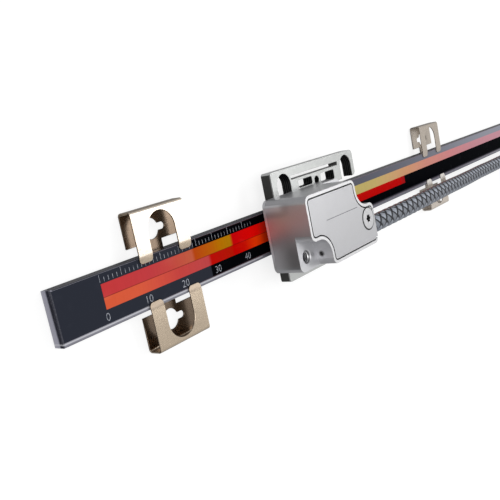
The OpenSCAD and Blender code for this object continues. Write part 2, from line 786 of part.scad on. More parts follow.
module connector_flange() {
    color([0.75, 0.74, 0.7]) at_plug() translate([hood_len, 0, 0]) rotate([90, 0, 90]) {
        difference() {
            union() {
                linear_extrude(flange_plate_t) round_rect([-hood_w / 2, -6.2], [hood_w / 2, 6.2], 1);
                linear_extrude(flange_plate_t + shell_out) shell_plan();
            }
            translate([0, 0, -eps]) linear_extrude(flange_plate_t + shell_out + 1) shell_plan(shell_wall);
            for (s = [-1, 1]) translate([s * jack_pitch / 2, 0, -eps])
                cylinder(h = flange_plate_t + 1, r = jack_r + slip);
        }
    }
}

module connector_insert() {
    color([0.1, 0.12, 0.14]) at_plug() translate([hood_len - 2, 0, 0]) rotate([90, 0, 90])
        difference() {
            linear_extrude(insert_t - 1.6) shell_plan(shell_wall + 0.1);
            for (p = pin_places()) translate([p.x, p.y, -eps]) cylinder(h = insert_t, r = pin_r + 0.02, $fn = 16);
        }
}

// Middles of the pins: the long row above, the short row below
function pin_places() = concat(
    [for (i = [0:long_row - 1]) [(i - (long_row - 1) / 2) * pin_pitch, row_gap / 2]],
    [for (i = [0:long_row - 2]) [(i - (long_row - 2) / 2) * pin_pitch, -row_gap / 2]]
);

module connector_pins() {
    color([0.85, 0.7, 0.3]) at_plug() translate([hood_len - 4, 0, 0]) rotate([90, 0, 90])
        for (p = pin_places()) translate([p.x, p.y, 0])
            cylinder(h = 4 + flange_plate_t + pin_out, r = pin_r, $fn = 16);
}

module jackscrew(side) {
    knob_x = hood_len - knob_seat - jack_knob_len;
    color([0.68, 0.68, 0.7]) at_plug() translate([knob_x, side * jack_pitch / 2, 0])
        rotate([0, 90, 0]) {
            cylinder(h = jack_knob_len, r = jack_knob_r);
            cylinder(h = hood_len + flange_plate_t + jack_out - knob_x, r = jack_r);
        }
}

// ---- one line for each node ----

glass_scale();
coating();
incremental_track();
homing_track();
clamp_at(0, 1);  // clamp_upper_left
clamp_at(0, -1);  // clamp_lower_left
clamp_at(1, 1);  // clamp_upper_right
clamp_at(1, -1);  // clamp_lower_right
head_housing();
head_cover();
cover_seal();
cover_screw();
mounting_bracket();
bracket_screw(0);  // bracket_screw_left
bracket_screw(1);  // bracket_screw_right
scanning_reticle();
optics_holder();
condenser_lens();
light_source();
photodetector();
circuit_board();
board_screw(0);  // board_screw_left
board_screw(1);  // board_screw_right
cable_ferrule();
cable();
cable_hank();
cable_tail();
cable_tie(-1);  // cable_tie_front
cable_tie(1);  // cable_tie_back
hood_lower();
hood_upper();
connector_flange();
connector_insert();
connector_pins();
jackscrew(-1);  // jackscrew_front
jackscrew(1);  // jackscrew_back
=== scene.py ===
"""Dresses the linear glass scale: glass and tracks, spring clamps, scanning head, braided cable and plug."""

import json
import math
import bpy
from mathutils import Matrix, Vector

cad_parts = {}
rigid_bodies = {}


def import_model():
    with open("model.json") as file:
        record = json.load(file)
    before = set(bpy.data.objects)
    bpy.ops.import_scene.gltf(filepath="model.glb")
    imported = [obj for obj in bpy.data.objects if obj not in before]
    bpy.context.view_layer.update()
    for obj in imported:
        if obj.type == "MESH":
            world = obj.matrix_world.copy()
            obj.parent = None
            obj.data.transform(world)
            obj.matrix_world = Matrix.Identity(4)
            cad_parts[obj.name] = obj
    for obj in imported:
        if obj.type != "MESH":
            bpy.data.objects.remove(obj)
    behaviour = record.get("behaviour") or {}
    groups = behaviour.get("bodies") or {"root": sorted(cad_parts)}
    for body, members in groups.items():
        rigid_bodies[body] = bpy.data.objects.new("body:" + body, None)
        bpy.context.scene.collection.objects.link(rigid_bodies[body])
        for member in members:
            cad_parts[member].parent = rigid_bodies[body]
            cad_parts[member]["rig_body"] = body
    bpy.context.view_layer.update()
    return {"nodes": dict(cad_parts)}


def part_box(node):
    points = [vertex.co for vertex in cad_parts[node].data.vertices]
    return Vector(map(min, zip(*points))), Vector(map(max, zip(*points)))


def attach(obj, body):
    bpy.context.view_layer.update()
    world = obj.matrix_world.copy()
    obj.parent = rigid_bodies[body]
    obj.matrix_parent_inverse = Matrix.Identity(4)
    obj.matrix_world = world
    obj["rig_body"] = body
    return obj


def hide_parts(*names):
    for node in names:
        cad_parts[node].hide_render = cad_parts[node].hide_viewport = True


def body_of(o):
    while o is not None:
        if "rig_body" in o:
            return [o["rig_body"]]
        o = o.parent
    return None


bl_info = {
    "name": "Linear glass scale",
    "version": (1, 0, 0),
    "blender": (4, 5, 0),
    "location": "3D View > Sidebar > Glass scale",
    "description": "Finishes and detail pieces for a glass scale with its scanning head, cable and plug",
    "category": "Object",
}

from functools import partialmethod

import bmesh
import bpy
from bpy.props import FloatProperty, FloatVectorProperty, IntProperty, PointerProperty
from mathutils import Matrix, Vector

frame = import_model()

MM = 0.001

# Route of the cable from the head to its winding, and from the winding to the plug, as in the part's source
LEAD_ROUTE = [
    (-22, -5.45, 12.8), (-10, -5.5, 12.8), (2, -5.6, 12.5), (14, -5.8, 11.8), (26, -6.1, 10.8),
    (38, -6.6, 9.6), (50, -7, 8.4), (62, -7.3, 7.3), (74, -7.6, 6.7), (86, -7.7, 6.4),
    (97, -7.8, 6.1), (105.5, -8, 5.9), (113, -8.3, 5), (120, -8.7, 3.9), (126, -8.95, 3.35),
]
TAIL_ROUTE = [
    (177, -46.4, 8.0), (172.5, -46.4, 9.3), (168, -46.4, 10.8), (163.5, -46.4, 12.1),
    (159, -46.4, 12.6), (152, -46.4, 12.6), (145, -46.4, 12.6), (138, -46.4, 12.6), (131, -46.4, 12.6),
    (126, -45.5, 12.6), (121.7, -43, 12.8), (118.4, -39.2, 13.1), (116.7, -34.4, 13.5),
    (116.7, -29.4, 13.8), (118.4, -24.6, 14.2), (121.7, -20.8, 14.5), (126, -18.3, 14.7),
    (131, -17.4, 14.9), (134.6, -17.7, 15.3), (138, -18.7, 15.8), (141.2, -20.4, 16.3),
    (144, -22.5, 16.8), (146.8, -24.7, 17.2), (150, -26.4, 17.5), (153.4, -27.4, 17.7),
    (158, -27.7, 17.7), (162, -27.7, 17.7),
]


def paint(red, green, blue):
    """Linear colour of a printed one, whose parts go from 0 to 255."""
    shares = (red / 255, green / 255, blue / 255)
    return tuple(c / 12.92 if c < 0.0405 else ((c + 0.055) / 1.055) ** 2.4 for c in shares)


# ---- sizes and colours that a user would change ----


class StageSettings(bpy.types.PropertyGroup):
    """Floor, lamps and camera"""

    floor_tone: FloatVectorProperty(
        name="Floor", description="Colour of the floor in reflections", subtype="COLOR", default=(0.3, 0.3, 0.305)
    )
    sky: FloatProperty(name="Sky", description="Strength of the even light from all round", default=0.67, min=0)
    softbox: FloatProperty(name="Softbox", description="Radiance of the lamp over the far end", default=3.3, min=0)
    fill: FloatProperty(name="Fill", description="Radiance of the lamp over the near end", default=2.6, min=0)
    lens: FloatProperty(name="Lens", description="Focal length of the camera", default=50.81, min=10, unit="CAMERA")


class CableSettings(bpy.types.PropertyGroup):
    """Braided cable and its winding"""

    diameter: FloatProperty(name="Diameter", description="Diameter over the braid", default=4.5 * MM, unit="LENGTH")
    length: FloatProperty(name="Length", description="Length from the head to the plug", default=1.0, unit="LENGTH")
    run: FloatProperty(name="Run", description="Straight part of a turn of the winding", default=50 * MM, unit="LENGTH")
    inner: FloatProperty(name="Inner fold", description="Radius of the inner turns", default=14 * MM, unit="LENGTH")
    outer: FloatProperty(name="Outer fold", description="Radius of the outer turns", default=18.7 * MM, unit="LENGTH")
    sides: IntProperty(name="Sides", description="Sides of the cable's section", default=40, min=8)
    lay: FloatProperty(name="Lay", description="Length of one turn of a braid strand", default=12.4 * MM, unit="LENGTH")
    strands: IntProperty(name="Strands", description="Strands of the braid each way", default=4, min=3)
    tracer: FloatProperty(name="Tracer", description="Place of the tracer round the braid, from 0 to 1", default=0.515)
    relief: FloatProperty(name="Relief", description="Height of a strand over a gap", default=0.18 * MM, unit="LENGTH")
    tone: FloatVectorProperty(
        name="Braid", description="Colour of the braid wires", subtype="COLOR", default=paint(188, 194, 206)
    )


class GlassSettings(bpy.types.PropertyGroup):
    """Glass, coating and graduation"""

    # The paler first end of the coating is a painted reflection: where it ends
    veil_end: FloatProperty(
        name="Pale part", description="End of the paler part of the coating", default=-79.5 * MM, unit="LENGTH"
    )
    coat: FloatVectorProperty(name="Coating", description="Its main colour", subtype="COLOR", default=paint(5, 6, 9))
    # colour of the coating under the painted reflection
    coat_pale: FloatVectorProperty(
        name="Pale coating", description="Colour at its first end", subtype="COLOR", default=paint(43, 46, 55)
    )
    tick_step: FloatProperty(name="Tick step", description="Distance between two marks", default=1 * MM, unit="LENGTH")


class MetalSettings(bpy.types.PropertyGroup):
    """Metals of the head, its bracket and the clamps"""

    housing: FloatVectorProperty(name="Housing", description="Nickelled box", subtype="COLOR", default=(0.6, 0.6, 0.62))
    cover: FloatVectorProperty(name="Cover", description="Cover plate", subtype="COLOR", default=(0.51, 0.51, 0.525))
    bracket: FloatVectorProperty(name="Bracket", description="Milled block", subtype="COLOR", default=(0.49, 0.5, 0.49))
    clamp: FloatVectorProperty(name="Clamps", description="Spring sheet", subtype="COLOR", default=(0.58, 0.475, 0.36))
    edge: FloatProperty(name="Edge break", description="Width of the broken edges", default=0.12 * MM, unit="LENGTH")
    thread_pitch: FloatProperty(name="Thread", description="Pitch of the ear's thread", default=0.5 * MM, unit="LENGTH")


class PlugSettings(bpy.types.PropertyGroup):
    """Plug and ties"""

    hood: FloatVectorProperty(name="Hood", description="Metallised hood", subtype="COLOR", default=(0.5, 0.5, 0.51))
    knob_ridges: IntProperty(name="Knob ridges", description="Ridges round a screw's knob", default=28, min=8)
    grip_ribs: IntProperty(name="Grip ribs", description="Ribs on each side of the hood", default=6, min=2)


SETTINGS = {
    "stage_settings": StageSettings,
    "cable_settings": CableSettings,
    "glass_settings": GlassSettings,
    "metal_settings": MetalSettings,
    "plug_settings": PlugSettings,
}


# ---- node trees and materials ----


class Wire:
    """A socket of a tree that can be used in sums."""

    def __init__(self, nodes, socket):
        self.nodes, self.socket = nodes, socket

    def sum(self, operation, *others):
        return self.nodes.node("ShaderNodeMath", [self, *others], operation=operation)

    def sum_after(self, operation, first):
        return self.nodes.node("ShaderNodeMath", [first, self], operation=operation)

    __add__ = __radd__ = partialmethod(sum, "ADD")
    __sub__ = partialmethod(sum, "SUBTRACT")
    __rsub__ = partialmethod(sum_after, "SUBTRACT")
    __mul__ = __rmul__ = partialmethod(sum, "MULTIPLY")
    __truediv__ = partialmethod(sum, "DIVIDE")
    __rtruediv__ = partialmethod(sum_after, "DIVIDE")
    __pow__ = partialmethod(sum, "POWER")
    __neg__ = partialmethod(sum, "MULTIPLY", -1)
    __gt__ = partialmethod(sum, "GREATER_THAN")
    __lt__ = partialmethod(sum, "LESS_THAN")
    lower = partialmethod(sum, "MINIMUM")
    upper = partialmethod(sum, "MAXIMUM")
    sine = partialmethod(sum, "SINE")
    size = partialmethod(sum, "ABSOLUTE")
    part = partialmethod(sum, "FRACT")

    def step(self, low, high):
        """Goes smoothly from 0 at low to 1 at high."""
        values = {"Value": self, "From Min": low, "From Max": high}
        return self.nodes.node("ShaderNodeMapRange", values, interpolation_type="SMOOTHSTEP")


class Nodes:
    """A node tree with an end node. Each other node is made by one call."""

    def __init__(self, tree, prefix, end):
        self.tree, self.prefix, self.end = tree, prefix, tree.nodes.new(end)

    def fill(self, socket, value):
        """Links a wire to the socket, or puts a fixed value on it."""
        if isinstance(value, Wire):
            self.tree.links.new(value.socket, socket)
        else:
            socket.default_value = value

    def node(self, kind, values=(), out=0, **settings):
        """A node of that kind, with its settings, and with values or wires for its sockets."""
        made = self.tree.nodes.new(kind if kind.startswith("Shader") else self.prefix + kind)
        for key, value in settings.items():
            setattr(made, key, value)
        for key, value in values.items() if isinstance(values, dict) else enumerate(values):
            self.fill(made.inputs[key], value)
        return Wire(self, made.outputs[out])


class Finish(Nodes):
    """A material round one Principled shader. Fixed values go straight on the shader's sockets."""

    def __init__(self, name, **fixed):
        self.material = bpy.data.materials.new(name)
        self.material.use_nodes = True
        tree = self.material.node_tree
        tree.nodes.clear()
        super().__init__(tree, "ShaderNode", "ShaderNodeOutputMaterial")
        self.shader = tree.nodes.new("ShaderNodeBsdfPrincipled")
        self.look = Wire(self, self.shader.outputs[0])
        self.fill(self.end.inputs[0], self.look)
        self.feed(**fixed)
        # place on the object, in metres
        self.place = self.node("TexCoord", out="Object")

    def feed(self, **sockets):
        for name, value in sockets.items():
            self.fill(self.shader.inputs[name.replace("_", " ")], value)

    def facing(self):
        """Parts of the surface's direction along X, Y and Z."""
        return self.axes(self.node("NewGeometry", out="Normal"))

    def axes(self, vector=None):
        """Parts of a vector, or of the place, along X, Y and Z."""
        return [self.node("SeparateXYZ", [vector or self.place], out=k) for k in range(3)]

    def noise(self, scale, detail=3.0, rough=0.55, along=(1, 1, 1)):
        """Cloudy noise, drawn out along the axes whose share is small."""
        vector = self.node("VectorMath", [self.place, along], operation="MULTIPLY")
        return self.node("TexNoise", {"Vector": vector, "Scale": scale, "Detail": detail, "Roughness": rough})

    def cells(self, scale):
        return self.node("TexVoronoi", {"Vector": self.place, "Scale": scale})

    def mix(self, share, first, second):
        """Colour between two, a tuple or a socket each."""
        first, second = (c if isinstance(c, Wire) else (*c, 1) for c in (first, second))
        return self.node("Mix", {0: share, 6: first, 7: second}, out=2, data_type="RGBA")

    def ramp(self, value, stops):
        """Colour that goes through the stops, each a share and a colour."""
        made = self.node("ValToRGB", [value])
        points = made.socket.node.color_ramp.elements
        while len(points) < len(stops):
            points.new(1)
        for point, (share, colour) in zip(points, stops):
            point.position, point.color = share, (*colour, 1)
        return made

    def bump(self, height, depth, strength=1.0):
        values = {"Height": height, "Distance": depth, "Strength": strength}
        self.feed(Normal=self.node("Bump", values))


def scaled(tone, factor):
    return tuple(c * factor for c in tone)


def distance(x, y, at):
    """How far two parts of a place are from a point."""
    return ((x - at[0]) ** 2 + (y - at[1]) ** 2) ** 0.5


def metal(
    name, tone, rough, grain, brushed=(1, 1, 1), contrast=0.12, dirt=0.25, depth=0.012 * MM, metallic=1.0, painted_light=None
):
    """Satin metal with fine grain along one way, cloudy oxide and small rubbed spots.
    The last argument, if given, returns the share and the colour of painted light and shade laid over the metal."""
    f = Finish(name, Metallic=metallic, IOR=2.2)
    lines = f.noise(grain, 4, 0.6, brushed)
    cloud = f.noise(190)
    spots = f.noise(1500, 2).step(0.58, 0.72)
    light = tuple(min(1, c) for c in scaled(tone, 1 + contrast))
    colour = f.mix(lines, scaled(tone, 1 - contrast), light)
    colour = f.mix(cloud.step(0.45, 0.8) * dirt, colour, scaled(tone, 0.72))
    # painted light and shade over the metal's own colour
    if painted_light:
        share, painted_tone = painted_light(f)
        colour = f.mix(share, colour, painted_tone)
    f.feed(Base_Color=colour, Roughness=rough - 0.08 + lines * 0.12 + cloud * 0.08 + spots * 0.06)
    f.bump(lines + spots * 0.5, depth)
    return f.material


def plastic(name, tone, rough=0.5, grain=2600):
    """Moulded plastic with a spark-eroded skin and a slight bloom."""
    f = Finish(name, IOR=1.48)
    skin = f.cells(grain)
    cloud = f.noise(240)
    bloom = tuple(c + 0.012 for c in scaled(tone, 1.5))
    f.feed(
        Base_Color=f.mix(cloud.step(0.35, 0.8) * 0.6 + skin * 0.25, tone, bloom),
        Roughness=rough + cloud * 0.12 - skin * 0.1,
    )
    f.bump(skin, 0.02 * MM)
    return f.material


def dress(node, material):
    """Gives a CAD node's object a finish in all its slots."""
    shown = frame["nodes"][node]
    if not shown.material_slots:
        shown.data.materials.append(material)
    for slot in shown.material_slots:
        slot.material = material


# ---- pieces ----


def link(name, data, materials=()):
    piece = bpy.data.objects.new(name, data)
    bpy.context.scene.collection.objects.link(piece)
    for material in materials:
        data.materials.append(material)
    return piece


def hand_over(piece, body, slot, *nodes):
    """Lets a piece ride on its body in place of the nodes that it stands for, which it hides. Its slot is not used."""
    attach(piece, body)
    if nodes:
        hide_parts(*nodes)


def baked(piece):
    """The piece with its modifiers made plain mesh."""
    graph = bpy.context.evaluated_depsgraph_get()
    mesh = bpy.data.meshes.new_from_object(piece.evaluated_get(graph), depsgraph=graph)
    name, old = piece.name, piece.data
    bpy.data.objects.remove(piece)
    if isinstance(old, bpy.types.Mesh):
        bpy.data.meshes.remove(old)
    mesh.name = name
    return link(name, mesh)


def mesh_of(name, work):
    """Mesh of what was built, which ends the work."""
    mesh = bpy.data.meshes.new(name)
    work.to_mesh(mesh)
    work.free()
    return mesh


def centre(node):
    """Middle of a CAD node's box."""
    return [(low + high) / 2 for low, high in zip(*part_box(node))]


def smooth_by_angle(mesh, degrees):
    mesh.shade_smooth()
    mesh.set_sharp_from_angle(angle=math.radians(degrees))


def broken_edges(node, slot, width, material, segments=2):
    """A copy of a CAD node with its edges broken, which stands for it."""
    source = frame["nodes"][node]
    work = bmesh.new()
    work.from_mesh(source.data)
    bmesh.ops.remove_doubles(work, verts=work.verts, dist=2e-6)
    bmesh.ops.dissolve_limit(work, angle_limit=math.radians(0.6), verts=work.verts, edges=work.edges)
    bmesh.ops.dissolve_degenerate(work, edges=work.edges, dist=2e-6)
    name = node + "_dressed"
    piece = link(name, mesh_of(name, work))
    bevel = piece.modifiers.new("broken edges", "BEVEL")
    bevel.width, bevel.segments = width, segments
    bevel.angle_limit, bevel.miter_outer = math.radians(35), "MITER_ARC"
    smooth_by_angle(piece.data, 38)
    even = piece.modifiers.new("even faces", "WEIGHTED_NORMAL")
    even.weight, even.keep_sharp = 80, True
    piece = baked(piece)
    piece.data.materials.append(material)
    hand_over(piece, body_of(source)[0], slot, node)


class Growth(Nodes):
    """A Geometry Nodes tree with named inputs that ends in Realize Instances and Set Material."""

    def __init__(self, name, **sizes):
        tree = bpy.data.node_groups.new(name, "GeometryNodeTree")

        def socket(key, kind, way="INPUT"):
            return tree.interface.new_socket(key, in_out=way, socket_type="NodeSocket" + kind).identifier

        socket("Geometry", "Geometry")
        self.sizes = {socket(key, "Int" if type(value) is int else "Float"): value for key, value in sizes.items()}
        socket("Geometry", "Geometry", "OUTPUT")
        super().__init__(tree, "GeometryNode", "NodeGroupOutput")
        self.start = tree.nodes.new("NodeGroupInput")

    def given(self, key="Geometry"):
        return Wire(self, self.start.outputs[key])

    def vector(self, x=0.0, y=0.0, z=0.0):
        return self.node("ShaderNodeCombineXYZ", [x, y, z])

    def row(self, count, start, step):
        """Points in a line, one step apart."""
        return self.node("MeshLine", {"Count": count, "Start Location": start, "Offset": step})

    def copies(self, points, instance, **how):
        return self.node("InstanceOnPoints", {"Points": points, "Instance": instance, **how})

    def moved(self, geometry, place=(0, 0, 0), turn=(0, 0, 0)):
        return self.node("Transform", {"Geometry": geometry, "Translation": place, "Rotation": turn})

    def tube(self, line, ring):
        return self.node("CurveToMesh", {"Curve": line, "Profile Curve": ring, "Fill Caps": True})

    def kept(self, geometry, key, value):
        """The geometry with a value kept on its points, and that value."""
        keeper = self.node("CaptureAttribute", [geometry]).socket.node
        keeper.capture_items.new("FLOAT", key)
        self.fill(keeper.inputs[key], value)
        return Wire(self, keeper.outputs[0]), Wire(self, keeper.outputs[key])

    def grow(self, name, geometry, material, base=None):
        """The plain mesh that the tree makes, from the base data where it needs some."""
        whole = self.node("RealizeInstances", [geometry])
        self.fill(self.end.inputs[0], self.node("SetMaterial", {"Geometry": whole, "Material": material}))
        piece = link(name, base or bpy.data.meshes.new(name + "_base"))
        grown = piece.modifiers.new(name, "NODES")
        grown.node_group = self.tree
        for key, value in self.sizes.items():
            grown[key] = value
        return baked(piece)


def line_curve(name, points):
    """A curve of one open straight-sided spline."""
    curve = bpy.data.curves.new(name, "CURVE")
    curve.dimensions = "3D"
    spline = curve.splines.new("POLY")
    spline.points.add(len(points) - 1)
    for point, place in zip(spline.points, points):
        point.co = (*place, 1)
    return curve


# ---- stage ----

CAMERA_PLACE = (-0.17975, 0.02408, 0.09872)
CAMERA_AXES = (0.5985, -0.1981, 0.7763), (0.2565, 0.9653, 0.0486), (-0.7590, 0.1700, 0.6285)
LAMPS_AIM = (-88 * MM, 9 * MM, 3 * MM)
FLOOR_DROP = 0.25 * MM


def make_camera(settings):
    data = bpy.data.cameras.new("view")
    data.lens, data.clip_start, data.clip_end = settings.lens, 0.01, 20
    camera = link("view", data)
    turn = Matrix(CAMERA_AXES).transposed().to_4x4()
    camera.matrix_world = Matrix.Translation(CAMERA_PLACE) @ turn
    bpy.context.scene.camera = camera


def make_lamp(name, place, width, height, radiance):
    data = bpy.data.lights.new(name, "AREA")
    data.shape, data.size, data.size_y = "RECTANGLE", width, height
    data.energy = radiance * math.pi * width * height
    lamp = link(name, data)
    lamp.location = place
    lamp.rotation_euler = (Vector(LAMPS_AIM) - Vector(place)).to_track_quat("-Z", "Y").to_euler()


def make_floor(settings):
    """Pale floor: it looks evenly lit, and is duller in reflections."""
    f = Finish("floor", Roughness=0.8, Specular_IOR_Level=0.1)
    cloud = f.noise(3, 2)
    tone = settings.floor_tone
    seen = f.node("LightPath", out="Is Camera Ray").upper(f.node("LightPath", out="Is Transmission Ray"))
    f.feed(Base_Color=f.mix(seen, f.mix(cloud, tone, scaled(tone, 1.04)), (0.97, 0.97, 0.97)))
    glow = f.node("Emission", {"Strength": 1.1})
    f.fill(f.end.inputs[0], f.node("MixShader", [seen * 0.7, f.look, glow]))
    work = bmesh.new()
    bmesh.ops.create_grid(work, x_segments=1, y_segments=1, size=3)
    floor = link("floor", mesh_of("floor", work), [f.material])
    floor.location.z = -FLOOR_DROP


def make_sky(settings):
    """White where the camera sees it, and an even soft light for all else."""
    world = bpy.data.worlds.new("studio")
    bpy.context.scene.world = world
    world.use_nodes = True
    world.node_tree.nodes.clear()
    sky = Nodes(world.node_tree, "ShaderNode", "ShaderNodeOutputWorld")
    soft, white = (
        sky.node("Background", {"Color": (1, 1, 1, 1), "Strength": strength}) for strength in (settings.sky, 1)
    )
    seen = sky.node("LightPath", out="Is Camera Ray")
    sky.fill(sky.end.inputs[0], sky.node("MixShader", [seen, soft, white]))


# ---- cable ----

WINDING_START_X = 131 * MM
WINDING_Y = -27.7 * MM
WINDING_LOW_Z = 3.25 * MM
LAYER = 4.7 * MM
LEGS = 14
# Points on a straight leg of the winding and on a fold
LEG_POINTS = 10, 12


def in_metres(points):
    return [tuple(c * MM for c in point) for point in points]


def ease(value, low, high):
    share = min(1, max(0, (value - low) / (high - low)))
    return share * share * (3 - 2 * share)


def wound_turns(settings):
    """Turns of the winding in metres: an outer and an inner one, then the same two on top of them.
    Its legs are by turns straight and folded."""
    points = []
    for leg in range(LEGS):
        forth = leg % 4 < 2
        side = 1 if forth else -1
        for k in range(LEG_POINTS[leg % 2]):
            share = k / LEG_POINTS[leg % 2]
            place = leg + share
            inward = ease(place, 3.4, 4.0) - ease(place, 10.38, 10.8)
            radius = settings.outer + (settings.inner - settings.outer) * inward
            if leg % 2:
                turn = math.pi / 2 * side - math.pi * share
                x, y = settings.run * forth + radius * math.cos(turn), radius * math.sin(turn)
            else:
                x, y = settings.run * (share if forth else 1 - share), radius * side
            z = WINDING_LOW_Z + LAYER * ease(place, 6.75, 7.4)
            points.append((WINDING_START_X + x, WINDING_Y + y, z))
    points.append((WINDING_START_X + settings.run, WINDING_Y - settings.outer, WINDING_LOW_Z + LAYER))
    return points


def rounded(points, step=4):
    """A smooth line through the points, with so many pieces between two of them."""
    line = []
    for i in range(len(points) - 1):
        a, b, c, d = (Vector(points[min(max(j, 0), len(points) - 1)]) for j in (i - 1, i, i + 1, i + 2))
        for k in range(step):
            t = k / step
            line.append(
                0.5 * (2 * b + (c - a) * t + (2 * a - 5 * b + 4 * c - d) * t**2 + (3 * b - a - 3 * c + d) * t**3)
            )
    line.append(Vector(points[-1]))
    return line


def braid_finish(settings):
    """Two sets of strands that cross, the first painted lit and the second painted in shade, painted shade in the gaps
    between them and along one side, and one brown tracer, in the tube's own map.
    """
    f = Finish("cable_braid", IOR=1.55)
    along, around = f.axes(f.node("UVMap", uv_map="UVMap"))[:2]
    turns = along / settings.lay
    first = (around + turns) * settings.strands
    second = (around - turns) * settings.strands
    sway_a, sway_b = (first * math.pi).sine(), (second * math.pi).sine()
    on_top = (sway_a * sway_b).step(-0.04, 0.04)
    crown = sway_a.size() * on_top + sway_b.size() * (1 - on_top)
    ends = sway_b.size() * on_top + sway_a.size() * (1 - on_top)
    wires = ((first * 7).part() * math.pi).sine() * on_top + ((second * 7).part() * math.pi).sine() * (1 - on_top)
    # painted shade: a darker band along one side of the cable, where the gaps are fainter
    shaded_side = 1 - (around - 0.89).size().step(0.02, 0.11)
    # painted shade in the gaps between the strands
    gap = (1 - crown.lower(ends * 1.7).step(0.3, 0.78)) * (1 - shaded_side * 0.7)
    grain = f.noise(900)
    tone = settings.tone
    sheen = wires * 0.6 + grain * 0.3
    # painted light: a lit tone where the first set is on top, a shaded tone where the second is
    light = f.mix(sheen, scaled(tone, 0.6), tone)
    shaded = f.mix(sheen, scaled(tone, 0.28), scaled(tone, 0.62))
    wire = f.mix(shaded_side * 0.8, f.mix(on_top, shaded, light), scaled(tone, 0.5))
    tracer = 1 - (around - settings.tracer).size().step(0.012, 0.02)
    f.feed(
        Base_Color=f.mix(tracer * 0.85, f.mix(gap, wire, paint(18, 21, 27)), paint(120, 66, 56)),
        Metallic=(1 - gap) * 0.6 * (1 - tracer),
        Roughness=0.44 + grain * 0.12 + gap * 0.3,
    )
    f.bump(wires * (1 - gap), 0.1 * MM, 0.8)
    return f.material


def strand_height(growth, along, around):
    """How far the strand on top stands out: strands of two sets take turns, and each dives at its ends."""
    turns = along / growth.given("Lay")
    half_turns = growth.given("Strands") * math.pi
    sways = [(phase * half_turns).sine() for phase in (around + turns, around - turns)]
    on_top = sways[0] * sways[1] > 0.0
    first, second = (sway.size() for sway in sways)
    crown, ends = (
        growth.node("Switch", {"Switch": on_top, "False": other, "True": one}, input_type="FLOAT")
        for one, other in ((first, second), (second, first))
    )
    return crown.lower(ends * 1.7) * growth.given("Relief")


def make_cable(settings):
    lead = in_metres(LEAD_ROUTE)
    start = (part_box("cable_ferrule")[1][0], *lead[0][1:])
    path = rounded([start] + lead + wound_turns(settings) + in_metres(TAIL_ROUTE))
    growth = Growth(
        "woven_tube", Radius=settings.diameter / 2 - settings.relief, Spacing=0.52 * MM, Sides=settings.sides,
        Lay=settings.lay, Strands=settings.strands, Relief=settings.relief,
    )
    given, node = growth.given, growth.node
    line = node("ResampleCurve", {"Curve": given(), "Length": given("Spacing")}, mode="LENGTH")
    line, along = growth.kept(line, "Along", node("SplineParameter", out="Length"))
    ring = node("CurveArc", {"Resolution": given("Sides") + 1, "Radius": given("Radius"), "Sweep Angle": 2 * math.pi})
    ring, around = growth.kept(ring, "Around", node("SplineParameter", out="Factor"))
    values = {"Geometry": growth.tube(line, ring), "Name": "UVMap", "Value": growth.vector(along, around)}
    mapped = node("StoreNamedAttribute", values, data_type="FLOAT2", domain="CORNER")
    raised, height = growth.kept(mapped, "Height", strand_height(growth, along, around))
    closed = node("MergeByDistance", {"Geometry": raised, "Distance": 1e-6})
    out = node("ShaderNodeVectorMath", {0: node("InputNormal"), "Scale": height}, operation="SCALE")
    smooth = node("SetShadeSmooth", [node("SetPosition", {"Geometry": closed, "Offset": out})])
    piece = growth.grow("cable_braid", smooth, braid_finish(settings), line_curve("cable_line", path))
    hand_over(piece, "head", "cable_braid", "cable", "cable_hank", "cable_tail")
    on_it = [
        bpy.data.objects[name] for name in (
            "cable_tie_front_dressed", "cable_tie_back_dressed", "jackscrew_front_dressed", "jackscrew_back_dressed",
            "hood_lower_dressed", "hood_upper_dressed", "connector_flange_dressed", "jackscrew_front_ridges",
            "jackscrew_back_ridges", "hood_ribs_front", "hood_ribs_back",
        )
    ]
    on_it += [frame["nodes"][name] for name in ("connector_insert", "connector_pins")]


# ---- glass, coating and tracks ----

TRACK_START = -105 * MM
TRACK_SPAN = 220 * MM
# Colours along a track, each with its distance in mm from the middle of the glass
# Up to -81 mm these colours hold a grey painted reflection, as at the coating's paler end; from -69 mm to -60 mm they
# are painted brighter, as painted light against the head's shadow
INCREMENTAL_COLOURS = [
    (-105, 192, 56, 58), (-93, 188, 60, 64), (-88, 190, 69, 63), (-81.2, 190, 92, 64),
    (-81, 178, 66, 14), (-76, 182, 91, 8), (-73, 181, 112, 2), (-69.2, 180, 127, 8),
    (-69, 198, 3, 9), (-60, 255, 10, 4), (-38, 190, 120, 60), (-15, 190, 173, 105),
    (-4, 194, 172, 108), (5, 201, 163, 114), (16, 206, 151, 114), (30, 206, 140, 124),
    (50, 205, 133, 135), (70, 193, 136, 144), (100, 196, 143, 155),
]
# Up to -77.2 mm these colours hold a grey painted reflection; from -69 mm to -61 mm they are painted brighter, as
# painted light against the head's shadow
HOMING_COLOURS = [
    (-105, 210, 88, 56), (-97, 211, 89, 60), (-92, 206, 80, 63), (-86, 192, 66, 62),
    (-79, 187, 68, 69), (-77.3, 186, 66, 68), (-77.1, 184, 9, 4), (-73, 183, 18, 7),
    (-69.2, 188, 25, 4), (-69, 200, 3, 1), (-65, 212, 16, 4), (-61, 255, 64, 3),
    (-45, 190, 10, 4), (11, 186, 4, 4), (12.4, 166, 15, 18), (14, 160, 16, 20),
]
# Shades through the glass from its back to its face, each with its share of the thickness
GLASS_DEPTH = 2.75 * MM
GLASS_SHADES = [
    (0.0, (205, 204, 214)), (0.1, (188, 187, 200)), (0.48, (176, 176, 190)), (0.62, (26, 28, 44)),
    (0.84, (22, 24, 38)), (0.93, (176, 174, 186)), (1.0, (160, 160, 173)),
]
# Flat marks lie this much over the face that they are on
MARK_LIFT = 0.004 * MM
MARK_WIDTH = 0.09 * MM
MARKED_LENGTH = 44 * MM
LONG_MARK, SHORT_MARK = 1.4 * MM, 0.8 * MM
NUMBER_HEIGHT = 2.1 * MM
NUMBERS = range(0, 50, 10)


